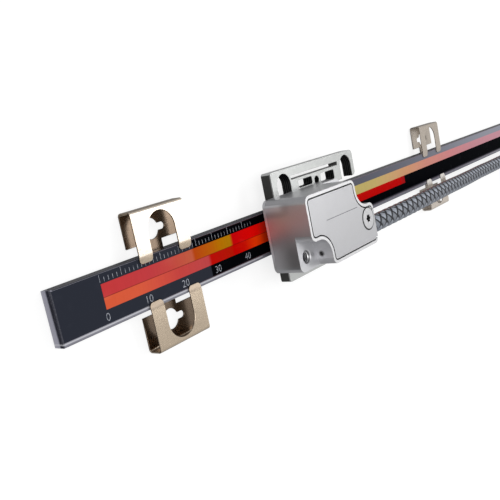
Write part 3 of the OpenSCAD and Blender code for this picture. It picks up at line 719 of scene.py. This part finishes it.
def track_finish(name, colours, border_y):
    """Fine grating on chrome: its colour turns along it, and a thin dark line parts the two tracks."""
    f = Finish(name, Roughness=0.3, Specular_IOR_Level=0.006, IOR=1.5)
    x, y, _ = f.axes()
    streak = f.noise(2600, along=(1, 0.12, 1))
    drift = f.noise(70, 2, along=(1, 3, 1))
    stops = [((at * MM - TRACK_START) / TRACK_SPAN, paint(*colour)) for at, *colour in colours]
    plain = f.ramp((x + (drift - 0.5) * 0.8 * MM - TRACK_START) / TRACK_SPAN, stops)
    shade = f.mix(streak.step(0.35, 0.75) * 0.045, plain, (0.02, 0.01, 0.01))
    border = 1 - (y - border_y).size().step(0.02 * MM, 0.11 * MM)
    shade = f.mix(border * 0.6 * (x < -20 * MM), shade, paint(70, 14, 14))
    f.feed(Base_Color=f.mix(drift.step(0.6, 0.8) * 0.06, shade, (1, 0.75, 0.6)))
    f.bump(streak, 0.004 * MM)
    return f.material


def coating_finish(settings):
    """Dark chrome on the glass: a painted reflection makes it paler at its first end; a grey upper strip behind the
    head, thin brown edges.
    """
    f = Finish("dark_coating", Specular_IOR_Level=0.008, IOR=1.2)
    x, y, _ = f.axes()
    grime = f.noise(500, 4)
    # the painted reflection ends 4 mm further on in the lower half
    lower = y < 0.55 * MM
    painted_reflection = 1 - (x - lower * 4 * MM).step(settings.veil_end - 1.7 * MM, settings.veil_end - 1.4 * MM)
    tone = f.mix(painted_reflection, settings.coat, settings.coat_pale)
    behind_head = x > -36 * MM
    strip = f.mix(x.step(-30 * MM, 110 * MM), paint(90, 91, 102), paint(146, 148, 158))
    tone = f.mix((y > 2.95 * MM) * behind_head, tone, strip)
    low_edge = 1 - y.step(-4.1 * MM, -3.45 * MM)
    tone = f.mix(low_edge * behind_head * 0.7, tone, paint(96, 98, 110))
    brown_edge = (y - 0.35 * MM).size().step(4.22 * MM, 4.38 * MM) * x.step(-104 * MM, -60 * MM)
    tone = f.mix(brown_edge * 0.45, tone, paint(128, 92, 98))
    f.feed(
        Base_Color=f.mix(grime.step(0.55, 0.85) * 0.03, tone, paint(120, 120, 128)),
        Roughness=0.18 + grime * 0.14,
    )
    f.bump(grime, 0.004 * MM)
    return f.material


def glass_finish():
    """Glass seen on edge: grey-lilac, dark under its coating, with light ground chamfers."""
    f = Finish("clear_glass", Transmission_Weight=0.12, IOR=1.46, Specular_IOR_Level=0.35)
    x, y, z = f.axes()
    haze = f.noise(260)
    scuff = f.noise(3000, along=(0.15, 1, 1))
    stops = [(share, paint(*colour)) for share, colour in GLASS_SHADES]
    shade = f.ramp(z / GLASS_DEPTH + (haze - 0.5) * 0.02 + y * 9, stops)
    end = (-f.facing()[0]).step(0.3, 0.7)
    shade = f.mix(end * z.step(2.2 * MM, 2.35 * MM) * 0.95, shade, paint(46, 48, 60))
    bare_margin = z.step(2.6 * MM, 2.74 * MM) * (y < -4 * MM)
    margin_tone = f.mix(y.step(-4.84 * MM, -4.66 * MM), paint(74, 74, 82), paint(122, 122, 132))
    shade = f.mix(bare_margin * 0.85, shade, margin_tone)
    upper_side = y.step(4.7 * MM, 4.86 * MM) * (x > -114.6 * MM)
    shade = f.mix(upper_side, shade, paint(30, 31, 44))
    # painted highlight: a light line along the lower margin near the first end
    streak = 1 - (y + 4.32 * MM).size().step(0.05 * MM, 0.2 * MM)
    shade = f.mix(streak * (x < -60 * MM) * 0.6, shade, paint(226, 226, 232))
    f.feed(
        Base_Color=f.mix(scuff.step(0.5, 0.8) * 0.1, shade, paint(200, 199, 208)),
        Roughness=0.14 + haze * 0.14,
    )
    f.bump(haze * 0.6 + scuff * 0.4, 0.01 * MM)
    return f.material


def ink_finish():
    """Pale etched marks, worn unevenly."""
    f = Finish("etched_marks", Roughness=0.5, Specular_IOR_Level=0.2)
    wear = f.noise(2500)
    f.feed(Base_Color=f.mix(wear.step(0.35, 0.65), paint(104, 108, 118), paint(182, 185, 193)))
    return f.material


def grow_ticks(name, material, count, step, low, face):
    """Marks across a strip: one for each step, a longer one at every fifth."""
    growth = Growth(name, Step=step, Count=count, Long=LONG_MARK, Short=SHORT_MARK, Width=MARK_WIDTH)
    given = growth.given
    line = growth.row(given("Count"), (TRACK_START, low, face), growth.vector(given("Step")))
    fifth = growth.node("InputIndex").sum("MODULO", 5).sum("COMPARE", 0, 0.1)
    height = given("Short") + fifth * (given("Long") - given("Short"))
    mark = growth.node("MeshGrid", {"Vertices X": 2, "Vertices Y": 2})
    mark = growth.moved(mark, (0, 0.5, 0))
    marks = growth.copies(line, mark, Scale=growth.vector(given("Width"), height, 1.0))
    return growth.grow(name, marks, material)


def etched_numbers(name, material, places, y, face):
    """Plain numbers at the given places, as one flat mesh."""
    work = bmesh.new()
    for number, x in places:
        words = bpy.data.curves.new("number", "FONT")
        words.body, words.size, words.align_x, words.resolution_u = str(number), NUMBER_HEIGHT, "CENTER", 3
        words.offset = -0.012 * NUMBER_HEIGHT
        figure = baked(link("number", words))
        mesh = figure.data
        mesh.transform(Matrix.Translation((x, y, face)))
        work.from_mesh(mesh)
        # this removes the figure too
        bpy.data.meshes.remove(mesh)
    return link(name, mesh_of(name, work), [material])


def make_glass(settings):
    dress("glass_scale", glass_finish())
    dress("coating", coating_finish(settings))
    border_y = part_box("homing_track")[1][1]
    dress("incremental_track", track_finish("incremental_film", INCREMENTAL_COLOURS, border_y))
    dress("homing_track", track_finish("homing_film", HOMING_COLOURS, border_y))
    low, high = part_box("coating")
    face = high[2] + MARK_LIFT
    ink = ink_finish()
    count = int(MARKED_LENGTH / settings.tick_step) + 1
    marks_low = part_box("incremental_track")[1][1] + 0.28 * MM
    ticks = grow_ticks("index_ticks", ink, count, settings.tick_step, marks_low, face)
    hand_over(ticks, "scale", "dark_coating")
    places = [(number, TRACK_START + number * MM) for number in NUMBERS]
    numbers = etched_numbers("index_numbers", ink, places, low[1] + 0.45 * MM, face)
    hand_over(numbers, "scale", "dark_coating")


# ---- clamps ----


def clamp_tints(f):
    """Painted light and shade on the clamps. The near pair is painted brown inside and on its left faces as painted
    shade, with a painted highlight on the upper clamp's outer plate and painted shade on the lower clamp's tips.
    The far pair is painted greyer all over, and the tips of its lower clamp get a painted highlight."""
    x, y, z = f.axes()
    # painted shade on the back plate inside the clamps
    inside = (1 - y.size().step(12.7 * MM, 13.05 * MM)) * (1 - z.step(0.5 * MM, 1.1 * MM))
    far, upper = x > 0, y > 0
    near, under = 1 - far, 1 - upper
    fingers = z.step(2.5 * MM, 2.8 * MM)
    tips = (1 - y.size().step(4.8 * MM, 5.3 * MM)) * fingers
    # painted highlights: the near upper clamp's outer plate and the far lower clamp's tips
    painted_highlight = (upper * near * z.step(2.9 * MM, 3 * MM) * (1 - tips) * 0.45).upper(under * far * tips)
    # painted shade on the tips of the near lower clamp
    tip_shade = under * near * tips * 0.8
    # painted shade on the left faces of the near fingers
    left_side_shade = (-f.facing()[0]).step(0.6, 0.9) * near * fingers * 0.85
    # brown painted shade for the near pair; the far pair is painted greyer all over
    tint = f.mix(far, paint(100, 84, 71), paint(200, 190, 179))
    tint = f.mix(painted_highlight > 0.01, tint, (0.85, 0.8, 0.74))
    tint = f.mix(tip_shade > 0.01, tint, (0.12, 0.095, 0.075))
    tint = f.mix(left_side_shade > 0.01, tint, paint(104, 88, 76))
    share = inside.upper(far) * (0.9 - far * 0.1)
    return share.upper(painted_highlight).upper(tip_shade).upper(left_side_shade), tint


def make_clamps(settings):
    look = dict(grain=7000, brushed=(0.06, 1, 1), contrast=0.04, dirt=0.08, depth=0.002 * MM, painted_light=clamp_tints)
    steel = metal("spring_steel", settings.clamp, 0.22, **look)
    dulled = metal("dulled_steel", settings.clamp, 0.4, metallic=0.3, **look)
    for name, finish in (
        ("upper_left", steel), ("lower_left", steel), ("upper_right", steel), ("lower_right", dulled),
    ):
        broken_edges("clamp_" + name, "spring_steel", settings.edge * 0.4, finish, 1)


# ---- head ----

EAR_HOLE_EDGE = 3 * MM
EAR_HOLE_RADIUS = 1.25 * MM
THREAD_LOW, THREAD_TOP = 0.3 * MM, 6.5 * MM
COVER_LINE_AT = (-47.75 * MM, 1.4 * MM)
COVER_LINE_HALF = (6.7 * MM, 0.075 * MM)
# Width of the painted shadow round the cover's screw, and how far its outer edge is shifted along X
SCREW_SHADOW_WIDTH, SCREW_SHADOW_SHIFT = 0.3 * MM, -0.2 * MM
RING_CORNERS = 64


def ear_hole():
    """Middle of the tapped hole in the front ear, along X and Y."""
    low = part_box("head_housing")[0]
    return low[0] + EAR_HOLE_EDGE, low[1] + EAR_HOLE_EDGE


def make_thread(settings, material):
    """Thread in the tapped hole of the front ear."""
    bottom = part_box("head_housing")[0][2] + THREAD_LOW
    turns = (THREAD_TOP - THREAD_LOW) / settings.thread_pitch
    growth = Growth(
        "thread", Radius=EAR_HOLE_RADIUS + 0.02 * MM, Pitch=settings.thread_pitch, Turns=turns, Depth=0.17 * MM
    )
    given = growth.given
    values = {"Resolution": 28, "Rotations": given("Turns"), "Height": given("Turns") * given("Pitch")}
    helix = growth.node("CurveSpiral", {**values, "Start Radius": given("Radius"), "End Radius": given("Radius")})
    ridge = growth.node("CurvePrimitiveCircle", {"Resolution": 4, "Radius": given("Depth")})
    placed = growth.moved(growth.tube(helix, ridge), (*ear_hole(), bottom))
    piece = growth.grow("thread_front_ear", placed, material)
    smooth_by_angle(piece.data, 30)
    hand_over(piece, "head", "housing_metal")


def make_cover_line():
    """Fine engraved line across the cover, and a dark ring round its screw: a painted shadow in the gap, widest towards
    -X.
    """
    f = Finish("engraving", Roughness=0.55, Metallic=0.6)
    f.feed(Base_Color=f.mix(f.noise(3000, 2), paint(92, 92, 98), paint(130, 130, 136)))
    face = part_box("head_cover")[1][2] + 0.003 * MM
    work = bmesh.new()
    x, y = COVER_LINE_AT
    half, up = COVER_LINE_HALF
    corners = (x - half, y - up), (x + half, y - up), (x + half, y + up), (x - half, y + up)
    work.faces.new([work.verts.new((*corner, face)) for corner in corners])
    low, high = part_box("cover_screw")
    x, y = centre("cover_screw")[:2]
    inner = (high[0] - low[0]) / 2 - 0.02 * MM
    rings = []
    for radius, middle in ((inner, x), (inner + SCREW_SHADOW_WIDTH, x + SCREW_SHADOW_SHIFT)):
        turns = [2 * math.pi * k / RING_CORNERS for k in range(RING_CORNERS)]
        ring = [(middle + radius * math.cos(turn), y + radius * math.sin(turn), face) for turn in turns]
        rings.append([work.verts.new(corner) for corner in ring])
    for k in range(RING_CORNERS):
        gap = work.faces.new([rings[0][k - 1], rings[1][k - 1], rings[1][k], rings[0][k]])
        gap.material_index = 1
    # finish of the ring: a dark sheet for the painted shadow
    shade = plastic("screw_gap", paint(20, 20, 23), 0.7, 3000)
    hand_over(link("cover_line", mesh_of("cover_line", work), [f.material, shade]), "head", "cover_metal")


def worked_places(f):
    """Painted light and shade on the housing: a painted highlight along the top rim, painted shade inside the tapped
    hole, and painted shade on the left side towards the ear and round its vent. A painted reflection makes the left
    side lighter low at its rear and along its foot."""
    low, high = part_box("head_housing")
    x, y, z = f.axes()
    # painted shade inside the tapped hole
    in_hole = 1 - distance(x, y, ear_hole()).step(1.4 * MM, 1.6 * MM)
    in_hole = in_hole * (1 - z.step(low[2] + 6.7 * MM, low[2] + 6.9 * MM))
    # painted highlight along the top rim
    rim = z.step(high[2] - 0.12 * MM, high[2] - 0.02 * MM)
    turned_left = -f.facing()[0]
    left = turned_left.step(0.85, 0.97) * (1 - x.step(low[0] + 0.3 * MM, low[0] + 0.5 * MM))
    towards_ear = (z - 6 * MM).step(0, 6 * MM) * (3 * MM - y).step(0, 8 * MM)
    vent = 1 - distance(y, z, (low[1] + 2.65 * MM, high[2] - 2.9 * MM)).step(0.5 * MM, 0.85 * MM)
    vent = vent * (x > low[0] + 5.6 * MM) * (x < low[0] + 9 * MM)
    # the foot gets a lighter painted reflection
    foot = turned_left.step(0.1, 0.4) * (1 - z.step(low[2] + 0.5 * MM, low[2] + 0.9 * MM))
    foot = foot * y.step(low[1], low[1] + 4.5 * MM)
    # painted shade on the left side towards the ear and round the vent
    painted_shade = (left * towards_ear * 0.66).upper(vent * 0.6)
    # painted reflection, lighter low at the rear of the left side and along the foot
    painted_reflection = (left * (1 - z.step(10 * MM, 13.5 * MM)) * y.step(3.6 * MM, 6 * MM)).upper(foot)
    light_and_shade_tint = f.mix(painted_reflection, paint(44, 41, 40), (0.97, 0.97, 1))
    tint = f.mix(in_hole, f.mix(rim > 0.01, light_and_shade_tint, (0.7, 0.7, 0.71)), paint(60, 60, 62))
    return (rim * 0.9 + in_hole * 0.75).upper(painted_shade).upper(painted_reflection * 0.75), tint


def dark_groove(f):
    """The cover's sides and broken edges, which lie in the groove round it, are painted dark as painted shade."""
    return (1 - f.facing()[2].step(0.55, 0.9)) * 0.9, paint(44, 44, 47)


def dark_socket(f):
    """The socket of the cover's screw is painted dark inside as painted shade."""
    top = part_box("cover_screw")[1][2]
    x, y, z = f.axes()
    near = 1 - distance(x, y, centre("cover_screw")).step(1.15 * MM, 1.3 * MM)
    below = 1 - z.step(top - 0.12 * MM, top - 0.03 * MM)
    return near * below * 0.9, paint(26, 25, 26)


def make_head(settings):
    edge = settings.edge
    case = metal(
        "housing_metal", settings.housing, 0.34, 4200, brushed=(1, 1, 0.5), contrast=0.06,
        depth=0.008 * MM, metallic=0.8, painted_light=worked_places,
    )
    lid = metal(
        "cover_metal", settings.cover, 0.32, 5200, brushed=(0.3, 1, 1), contrast=0.04, dirt=0.12,
        depth=0.005 * MM, metallic=0.8, painted_light=dark_groove,
    )
    screws = metal("screw_steel", (0.6, 0.6, 0.61), 0.3, 8000, contrast=0.15, painted_light=dark_socket)
    broken_edges("head_housing", "housing_metal", edge, case)
    broken_edges("head_cover", "cover_metal", edge * 1.3, lid)
    for node in ("cover_screw", "bracket_screw_left", "bracket_screw_right", "board_screw_left", "board_screw_right"):
        broken_edges(node, "screw_steel", edge * 0.5, screws, 1)
    dress("cover_seal", plastic("gasket", paint(30, 30, 32), 0.75, 1800))
    dress("cable_ferrule", metal("ferrule_metal", (0.5, 0.5, 0.52), 0.35, 6000))
    make_thread(settings, screws)
    make_cover_line()


# ---- bracket ----

# The slit, down from the bracket's top edge to its middle line and along from its left edge
SLIT_DOWN = 2.35 * MM
SLIT_FROM, SLIT_TO = 7.45 * MM, 28.3 * MM


def dark_walls(f):
    """Painted light and shade on the bracket: the walls of the slots are painted black as shade, with lighter ribs as
    painted reflections of the cutter's marks, and the left side is painted dark as shade.
    The slit's walls are painted lighter grey, as painted light, and faces that look up (+Y) get a painted highlight."""
    low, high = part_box("mounting_bracket")
    x, y, z = f.axes()
    # painted shade on the walls of the slots
    inner = (x - centre("mounting_bracket")[0]).size() < (high[0] - low[0]) / 2 - 1.2 * MM
    inner = inner * (y < high[1] - 0.5 * MM) * (y > 5 * MM)
    ribs = (z * (2 * math.pi / (0.55 * MM))).sine().step(-0.2, 0.9)
    below = 1 - z.step(high[2] - 0.25 * MM, high[2] - 0.1 * MM)
    # painted shade on the left side
    side = (-f.facing()[0]).step(0.6, 0.85) * (1 - z.step(high[2] - 0.4 * MM, high[2] - 0.2 * MM))
    left_side_shade = side * (1 - inner)
    # the slit's walls are painted lighter, as painted light
    slit = ((y - high[1] + SLIT_DOWN).size() < 0.5 * MM) * (x > low[0] + SLIT_FROM) * (x < low[0] + SLIT_TO)
    up = f.facing()[1]
    # painted highlight on faces that look up, and on the slit's lower wall
    light = (up.step(0.2, 0.5) * (1 - inner)).upper(slit * (up > 0.5))
    share = inner * below * (0.99 - ribs * 0.14)
    grey = f.mix(slit, paint(66, 66, 63), paint(112, 111, 109))
    tint = f.mix(light, f.mix(left_side_shade.upper(slit), paint(9, 9, 10), grey), paint(246, 247, 246))
    return share.upper(left_side_shade * 0.93).upper(light * 0.9), tint


def make_bracket(settings):
    milled = metal(
        "bracket_metal", settings.bracket, 0.32, 3800, brushed=(0.15, 1, 1), contrast=0.1,
        metallic=0.85, painted_light=dark_walls,
    )
    broken_edges("mounting_bracket", "bracket_metal", settings.edge, milled)


# ---- optics and board ----


def make_optics():
    lens = Finish("optic_glass", Transmission_Weight=0.9, IOR=1.5, Base_Color=(0.86, 0.9, 0.93, 1))
    dust = lens.noise(3000, 2)
    lens.feed(Roughness=0.03 + dust.step(0.55, 0.8) * 0.2)
    dress("scanning_reticle", lens.material)
    dress("condenser_lens", lens.material)
    dress("optics_holder", plastic("black_plastic", paint(26, 26, 28), 0.55))
    dress("photodetector", plastic("detector_resin", paint(20, 20, 24), 0.3, 4000))
    lamp = Finish("lamp_epoxy", IOR=1.52, Coat_Weight=0.6)
    tint = lamp.noise(900, 2)
    lamp.feed(Base_Color=lamp.mix(tint, paint(176, 48, 40), paint(214, 96, 76)), Roughness=0.12 + tint * 0.1)
    dress("light_source", lamp.material)
    board = Finish("board_green", IOR=1.5)
    x, y, _ = board.axes()
    tracks = ((x * 900 + board.noise(260, 1) * 5).part() > 0.7) * (board.cells(420) > 0.3)
    weave = ((x * 3200).sine() * (y * 3200).sine()).step(-0.3, 0.3)
    green = board.mix(weave * 0.2, paint(18, 84, 48), paint(34, 112, 66))
    board.feed(Base_Color=board.mix(tracks * 0.6, green, paint(96, 140, 70)), Roughness=0.35 + weave * 0.08)
    board.bump(tracks, 0.03 * MM)
    dress("circuit_board", board.material)


# ---- plug ----

KNOB_RADIUS, KNOB_LENGTH, KNOB_MIDDLE = 2.82 * MM, 5.4 * MM, 3.5 * MM
FIRST_RIB = 14.2 * MM


def grow_ridges(name, material, middle, count):
    """Straight ridges round a knob whose axis runs along X."""
    growth = Growth(name, Radius=KNOB_RADIUS, Length=KNOB_LENGTH, Ridges=count, Width=0.36 * MM)
    given = growth.given
    ring = growth.node("MeshCircle", {"Vertices": given("Ridges"), "Radius": given("Radius")})
    turn = growth.node("InputIndex") * (2 * math.pi / given("Ridges"))
    size = growth.vector(given("Width"), given("Width"), given("Length"))
    bar = growth.moved(growth.node("MeshCube", {"Size": size}), turn=(0, 0, math.pi / 4))
    bars = growth.copies(ring, bar, Rotation=growth.vector(z=turn))
    whole = growth.node("RealizeInstances", [bars])
    piece = growth.grow(name, growth.moved(whole, middle, (0, math.pi / 2, 0)), material)
    hand_over(piece, "head", "screw_steel")


def grow_ribs(name, material, first, count):
    """Upright grip ribs on a side of the hood, parted at the seam between its halves."""
    growth = Growth(name, Ribs=count, Step=2.05 * MM, Width=0.8 * MM, Height=4.6 * MM, Seam=2.8 * MM)
    given = growth.given
    line = growth.row(given("Ribs"), first, growth.vector(given("Step")))
    size = growth.vector(given("Width"), given("Width"), given("Height"))
    bar = growth.node("MeshCube", {"Size": size})
    low, apart = (growth.vector(z=given("Seam") * way) for way in (-1.0, 2.0))
    pair = growth.copies(growth.row(2, low, apart), bar)
    piece = growth.grow(name, growth.copies(line, pair), material)
    hand_over(piece, "head", "hood_metal")


def make_plug(settings):
    cast = metal("hood_metal", settings.hood, 0.42, 2600, contrast=0.08, dirt=0.3, depth=0.02 * MM)
    plate = metal("flange_plate", (0.62, 0.6, 0.54), 0.28, 4200, brushed=(1, 0.2, 1))
    screws = metal("jackscrew_steel", (0.56, 0.56, 0.58), 0.3, 7000)
    for node in ("hood_lower", "hood_upper"):
        broken_edges(node, "hood_metal", 0.35 * MM, cast)
    low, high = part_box("hood_upper")
    for side, y in (("front", low[1] + 0.05 * MM), ("back", high[1] - 0.05 * MM)):
        grow_ribs("hood_ribs_" + side, cast, (high[0] - FIRST_RIB, y, low[2]), settings.grip_ribs)
    broken_edges("connector_flange", "flange_plate", 0.08 * MM, plate, 1)
    dress("connector_insert", plastic("insert_plastic", paint(22, 24, 30), 0.5))
    dress("connector_pins", metal("pin_gold", (0.86, 0.62, 0.26), 0.22, 9000, contrast=0.08, dirt=0.1))
    for node in ("jackscrew_front", "jackscrew_back"):
        broken_edges(node, "screw_steel", 0.15 * MM, screws)
        middle = (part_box(node)[0][0] + KNOB_MIDDLE, *centre(node)[1:])
        grow_ridges(node + "_ridges", screws, middle, settings.knob_ridges)
    black = plastic("tie_plastic", paint(20, 20, 21), 0.45, 2200)
    for node in ("cable_tie_front", "cable_tie_back"):
        broken_edges(node, "tie_plastic", 0.25 * MM, black)


# ---- operators ----


class StageOperator(bpy.types.Operator):
    """Floor, sky, lamps and camera"""

    bl_idname = "glass_scale.stage"
    bl_label = "Stage"

    def execute(self, context):
        settings = context.scene.stage_settings
        make_camera(settings)
        make_sky(settings)
        make_floor(settings)
        make_lamp("softbox", (0.491, 0.19, 0.669), 0.67, 0.285, settings.softbox)
        make_lamp("fill", (-0.6, 0.12, 0.62), 0.5, 0.5, settings.fill)
        return {"FINISHED"}


class CableOperator(bpy.types.Operator):
    """Braided cable with its winding"""

    bl_idname = "glass_scale.cable"
    bl_label = "Cable"

    def execute(self, context):
        make_cable(context.scene.cable_settings)
        return {"FINISHED"}


class GlassOperator(bpy.types.Operator):
    """Glass, coating, tracks and etched marks"""

    bl_idname = "glass_scale.glass"
    bl_label = "Glass and tracks"

    def execute(self, context):
        make_glass(context.scene.glass_settings)
        return {"FINISHED"}


class ClampsOperator(bpy.types.Operator):
    """Folded spring clamps"""

    bl_idname = "glass_scale.clamps"
    bl_label = "Clamps"

    def execute(self, context):
        make_clamps(context.scene.metal_settings)
        return {"FINISHED"}


class HeadOperator(bpy.types.Operator):
    """Housing, cover, screws and threads of the head"""

    bl_idname = "glass_scale.head"
    bl_label = "Scanning head"

    def execute(self, context):
        make_head(context.scene.metal_settings)
        return {"FINISHED"}


class BracketOperator(bpy.types.Operator):
    """Milled mounting bracket"""

    bl_idname = "glass_scale.bracket"
    bl_label = "Bracket"

    def execute(self, context):
        make_bracket(context.scene.metal_settings)
        return {"FINISHED"}


class OpticsOperator(bpy.types.Operator):
    """Optics and board inside the head"""

    bl_idname = "glass_scale.optics"
    bl_label = "Optics"

    def execute(self, context):
        make_optics()
        return {"FINISHED"}


class PlugOperator(bpy.types.Operator):
    """Plug, its screws and the ties"""

    bl_idname = "glass_scale.plug"
    bl_label = "Plug and ties"

    def execute(self, context):
        make_plug(context.scene.plug_settings)
        return {"FINISHED"}


# In the order in which they run: the cable looks up the plug's pieces by name and comes last
OPERATORS = [
    StageOperator, GlassOperator, ClampsOperator, BracketOperator,
    HeadOperator, OpticsOperator, PlugOperator, CableOperator,
]


class ScalePanel(bpy.types.Panel):
    """Lists the pieces of the glass scale"""

    bl_idname = "VIEW3D_PT_glass_scale"
    bl_label = "Glass scale"
    bl_space_type = "VIEW_3D"
    bl_region_type = "UI"
    bl_category = "Glass scale"

    def draw(self, context):
        for operator in OPERATORS:
            self.layout.operator(operator.bl_idname)
        for name, group in SETTINGS.items():
            box = self.layout.box()
            box.label(text=group.__doc__)
            for key in group.__annotations__:
                box.prop(getattr(context.scene, name), key)


def register():
    for kind in (*SETTINGS.values(), *OPERATORS, ScalePanel):
        bpy.utils.register_class(kind)
    for name, group in SETTINGS.items():
        setattr(bpy.types.Scene, name, PointerProperty(type=group))


def unregister():
    for name in SETTINGS:
        delattr(bpy.types.Scene, name)
    for kind in reversed((*SETTINGS.values(), *OPERATORS, ScalePanel)):
        bpy.utils.unregister_class(kind)


def main():
    register()
    bpy.context.scene.view_settings.view_transform = "Standard"
    for operator in OPERATORS:
        group, name = operator.bl_idname.split(".")
        getattr(getattr(bpy.ops, group), name)()


if __name__ == "__main__":
    main()
